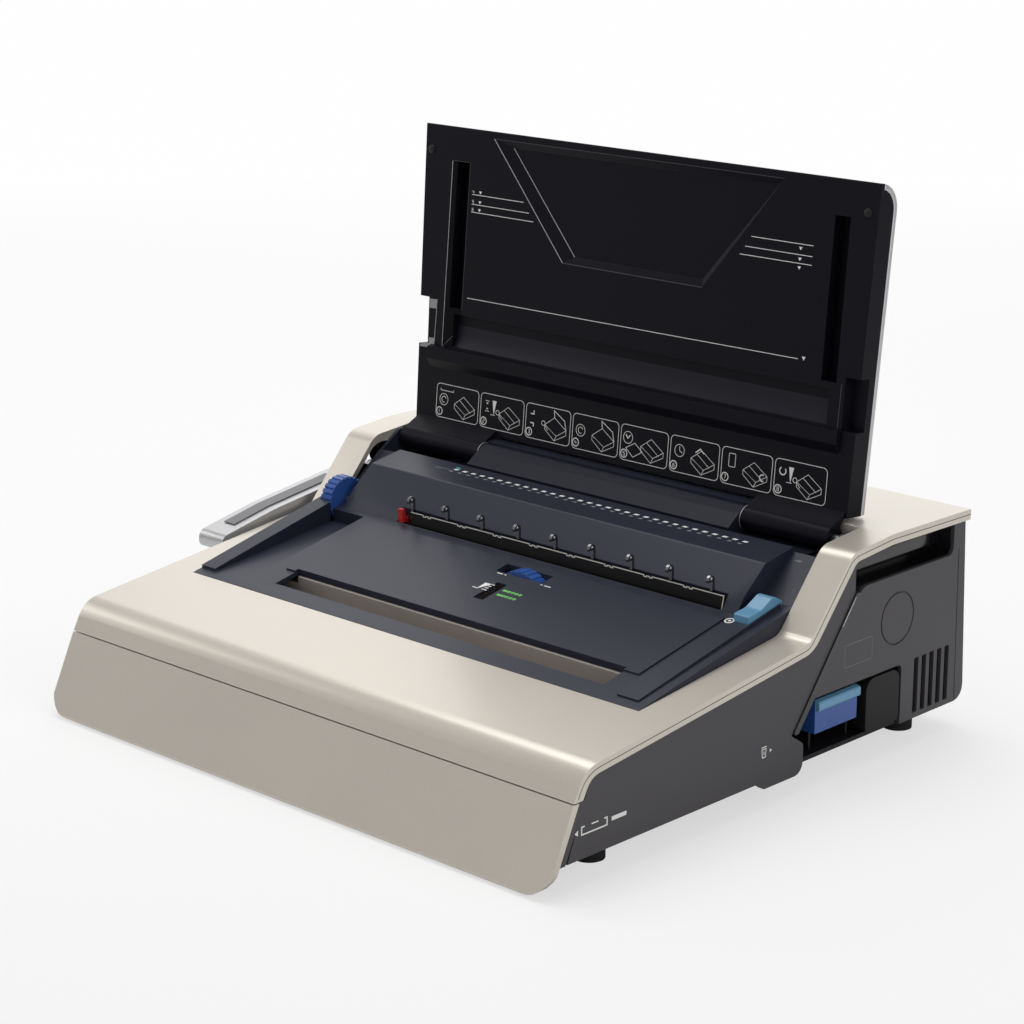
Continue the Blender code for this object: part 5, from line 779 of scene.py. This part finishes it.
def make_seams():
    """The narrow shadow gap under the top cover's rolled edge, and the rear panel's edge."""
    corners = [(-178, 47.5), (-171.7, 61.3), (36.3, 86.3), (78.6, 135.9), (120, 139.5), (206.2, 138.6)]
    path = rounded_path([(u, v - COVER_EDGE_DROP) for u, v in corners], (22, 14, 16, 60))
    for name, place, sign in (("right", ON_COVER_RIGHT, 1), ("left", ON_COVER_LEFT, -1)):
        along = [(sign * u, v) for u, v in path]
        printed(f"{name}_edge_gap", place, "machine", "seam_and_painted_shade", [trace(along, SEAM_WIDTH)])
    for name, place, sign in (("right", ON_SIDE, 1), ("left", ON_SIDE_LEFT, -1)):
        edge = trace([(sign * 197, 113), (sign * 199, 8)], REAR_SEAM_WIDTH)
        printed(f"{name}_rear_gap", place, "machine", "seam_and_painted_shade", [edge])


def hinge_apron():
    """The dark strip between the hinge bar and the foot of the lid."""
    low, high = Vector((-126, 111.5, 138.6)) * MM, Vector((122, 134.0, 140.4)) * MM
    bm = bmesh.new()
    spread = Matrix.Translation(SHIFT + (low + high) / 2) @ Matrix.Diagonal((*(high - low), 1))
    bmesh.ops.create_cube(bm, size=1, matrix=spread)
    link_mesh("hinge_apron", bm, LOOKS["deck_navy"], "machine")


def make_small_pieces():
    comb_strip()
    tray_lip()
    make_seams()
    hinge_apron()
    tips = [SHIFT + Vector((x, HOOK_Y - TIP_BEFORE, HOOK_TOP_Z - TIP_SINK)) for x in hook_places()]
    domes("hook_tips", tips, TIP_RADIUS, TIP_HEIGHT, (0, 0, 1), EXTRA["hook_steel"], "machine")
    pads = [ON_LID(u * MM, v * MM, 0) for u, v in PAD_PLACES]
    out = ON_LID(0, 0, 1) - ON_LID(0, 0, 0)
    domes("lid_bumpers", pads, PAD_RADIUS, PAD_HEIGHT, out, EXTRA["pan_black"], "lid")


# Camera, lamps and floor. The floor fades to white away from the machine.

CAMERA_PLACE, CAMERA_LENS, SENSOR_WIDTH = (1.2127394, -1.2702531, 0.6297995), 96.858, 36.0
CAMERA_RIGHT, CAMERA_UP = (0.72546525, 0.68825707, 0.00154171), (-0.18814536, 0.19616109, 0.9623524)
CAMERA_BACK = (0.66204342, -0.69844329, 0.27180043)
LAMP_TARGET = (0.0, 0.0, 0.12)
FLOOR_HALF, FADE_NEAR, FADE_FAR, GLOW_NEAR, GLOW_FAR = 6.0, 0.7, 2.4, 0.62, 0.99
WORLD_STRENGTH = 0.38


def make_camera():
    data = bpy.data.cameras.new("camera")
    data.sensor_width = SENSOR_WIDTH
    data.lens = CAMERA_LENS
    data.clip_start, data.clip_end = 0.05, 20
    camera = bpy.data.objects.new("camera", data)
    bpy.context.scene.collection.objects.link(camera)
    turned = Matrix((CAMERA_RIGHT, CAMERA_UP, CAMERA_BACK)).transposed().to_4x4()
    camera.matrix_world = Matrix.Translation(SHIFT + Vector(CAMERA_PLACE)) @ turned
    bpy.context.scene.camera = camera


def lamp(name, place, size, power):
    """A square lamp that faces the machine."""
    data = bpy.data.lights.new(name, "AREA")
    data.shape = "RECTANGLE"
    data.size, data.size_y = size, size
    data.energy = power
    thing = bpy.data.objects.new(name, data)
    thing.location = place
    thing.rotation_euler = (Vector(LAMP_TARGET) - Vector(place)).to_track_quat("-Z", "Y").to_euler()
    bpy.context.scene.collection.objects.link(thing)


def make_stage():
    lamp("top_lamp", (-0.3, 0.3, 1.7), 1.5, 20)
    lamp("front_lamp", (-0.2, -2.1, 0.7), 1.2, 2.4)
    lamp("side_lamp", (1.9, -0.2, 0.8), 1.2, 8)
    lamp("left_lamp", (-1.7, -0.5, 0.9), 0.7, 4)
    lamp("back_lamp", (-1.3, 1.5, 1.0), 1.8, 9)
    world = bpy.data.worlds.new("world")
    bpy.context.scene.world = world
    world.use_nodes = True
    tree = world.node_tree
    link = tree.links.new
    tree.nodes.clear()
    lit = node(tree, "ShaderNodeBackground")
    lit.inputs["Color"].default_value = (1, 1, 1, 1)
    lit.inputs["Strength"].default_value = WORLD_STRENGTH
    white = node(tree, "ShaderNodeBackground")
    white.inputs["Color"].default_value = (1, 1, 1, 1)
    white.inputs["Strength"].default_value = 1.0
    rays = node(tree, "ShaderNodeLightPath")
    seen = node(tree, "ShaderNodeMath", operation="MAXIMUM")
    mix = node(tree, "ShaderNodeMixShader")
    out = node(tree, "ShaderNodeOutputWorld")
    link(rays.outputs["Is Camera Ray"], seen.inputs[0])
    link(rays.outputs["Is Transmission Ray"], seen.inputs[1])
    link(seen.outputs["Value"], mix.inputs["Fac"])
    link(lit.outputs["Background"], mix.inputs[1])
    link(white.outputs["Background"], mix.inputs[2])
    link(mix.outputs["Shader"], out.inputs["Surface"])
    make_floor()


def make_floor():
    bm = bmesh.new()
    half = FLOOR_HALF
    corners = ((-half, -half), (half, -half), (half, half), (-half, half))
    bm.faces.new([bm.verts.new((x, y, 0)) for x, y in corners])
    mesh = bpy.data.meshes.new("floor")
    bm.to_mesh(mesh)
    bm.free()
    floor = bpy.data.objects.new("floor", mesh)
    bpy.context.scene.collection.objects.link(floor)
    made = bpy.data.materials.new("pale_floor")
    made.use_nodes = True
    tree = made.node_tree
    tree.nodes.clear()
    link = tree.links.new
    matte = node(tree, "ShaderNodeBsdfDiffuse")
    matte.inputs["Color"].default_value = (0.82, 0.82, 0.82, 1)
    glow = node(tree, "ShaderNodeEmission")
    glow.inputs["Color"].default_value = (1, 1, 1, 1)
    glow.inputs["Strength"].default_value = 1.0
    rays = node(tree, "ShaderNodeLightPath")
    place = node(tree, "ShaderNodeTexCoord")
    away = node(tree, "ShaderNodeVectorMath", operation="LENGTH")
    link(place.outputs["Object"], away.inputs[0])
    fade = remap(tree, away.outputs["Value"], FADE_NEAR, FADE_FAR, GLOW_NEAR, GLOW_FAR)
    mix = node(tree, "ShaderNodeMixShader")
    out = node(tree, "ShaderNodeOutputMaterial")
    link(product(tree, rays.outputs["Is Camera Ray"], fade), mix.inputs["Fac"])
    link(matte.outputs["BSDF"], mix.inputs[1])
    link(glow.outputs["Emission"], mix.inputs[2])
    link(mix.outputs["Shader"], out.inputs["Surface"])
    paint(floor, made)


def main():
    bpy.context.scene.view_settings.view_transform = "Standard"
    make_camera()
    make_stage()
    dress_all()
    make_pictograms()
    make_lid_marks()
    make_recess_rim()
    make_channel_slope()
    make_lid_painted_light()
    make_barrel_highlights()
    make_strip_marks()
    make_plate_marks()
    make_side_marks()
    make_small_pieces()


main()
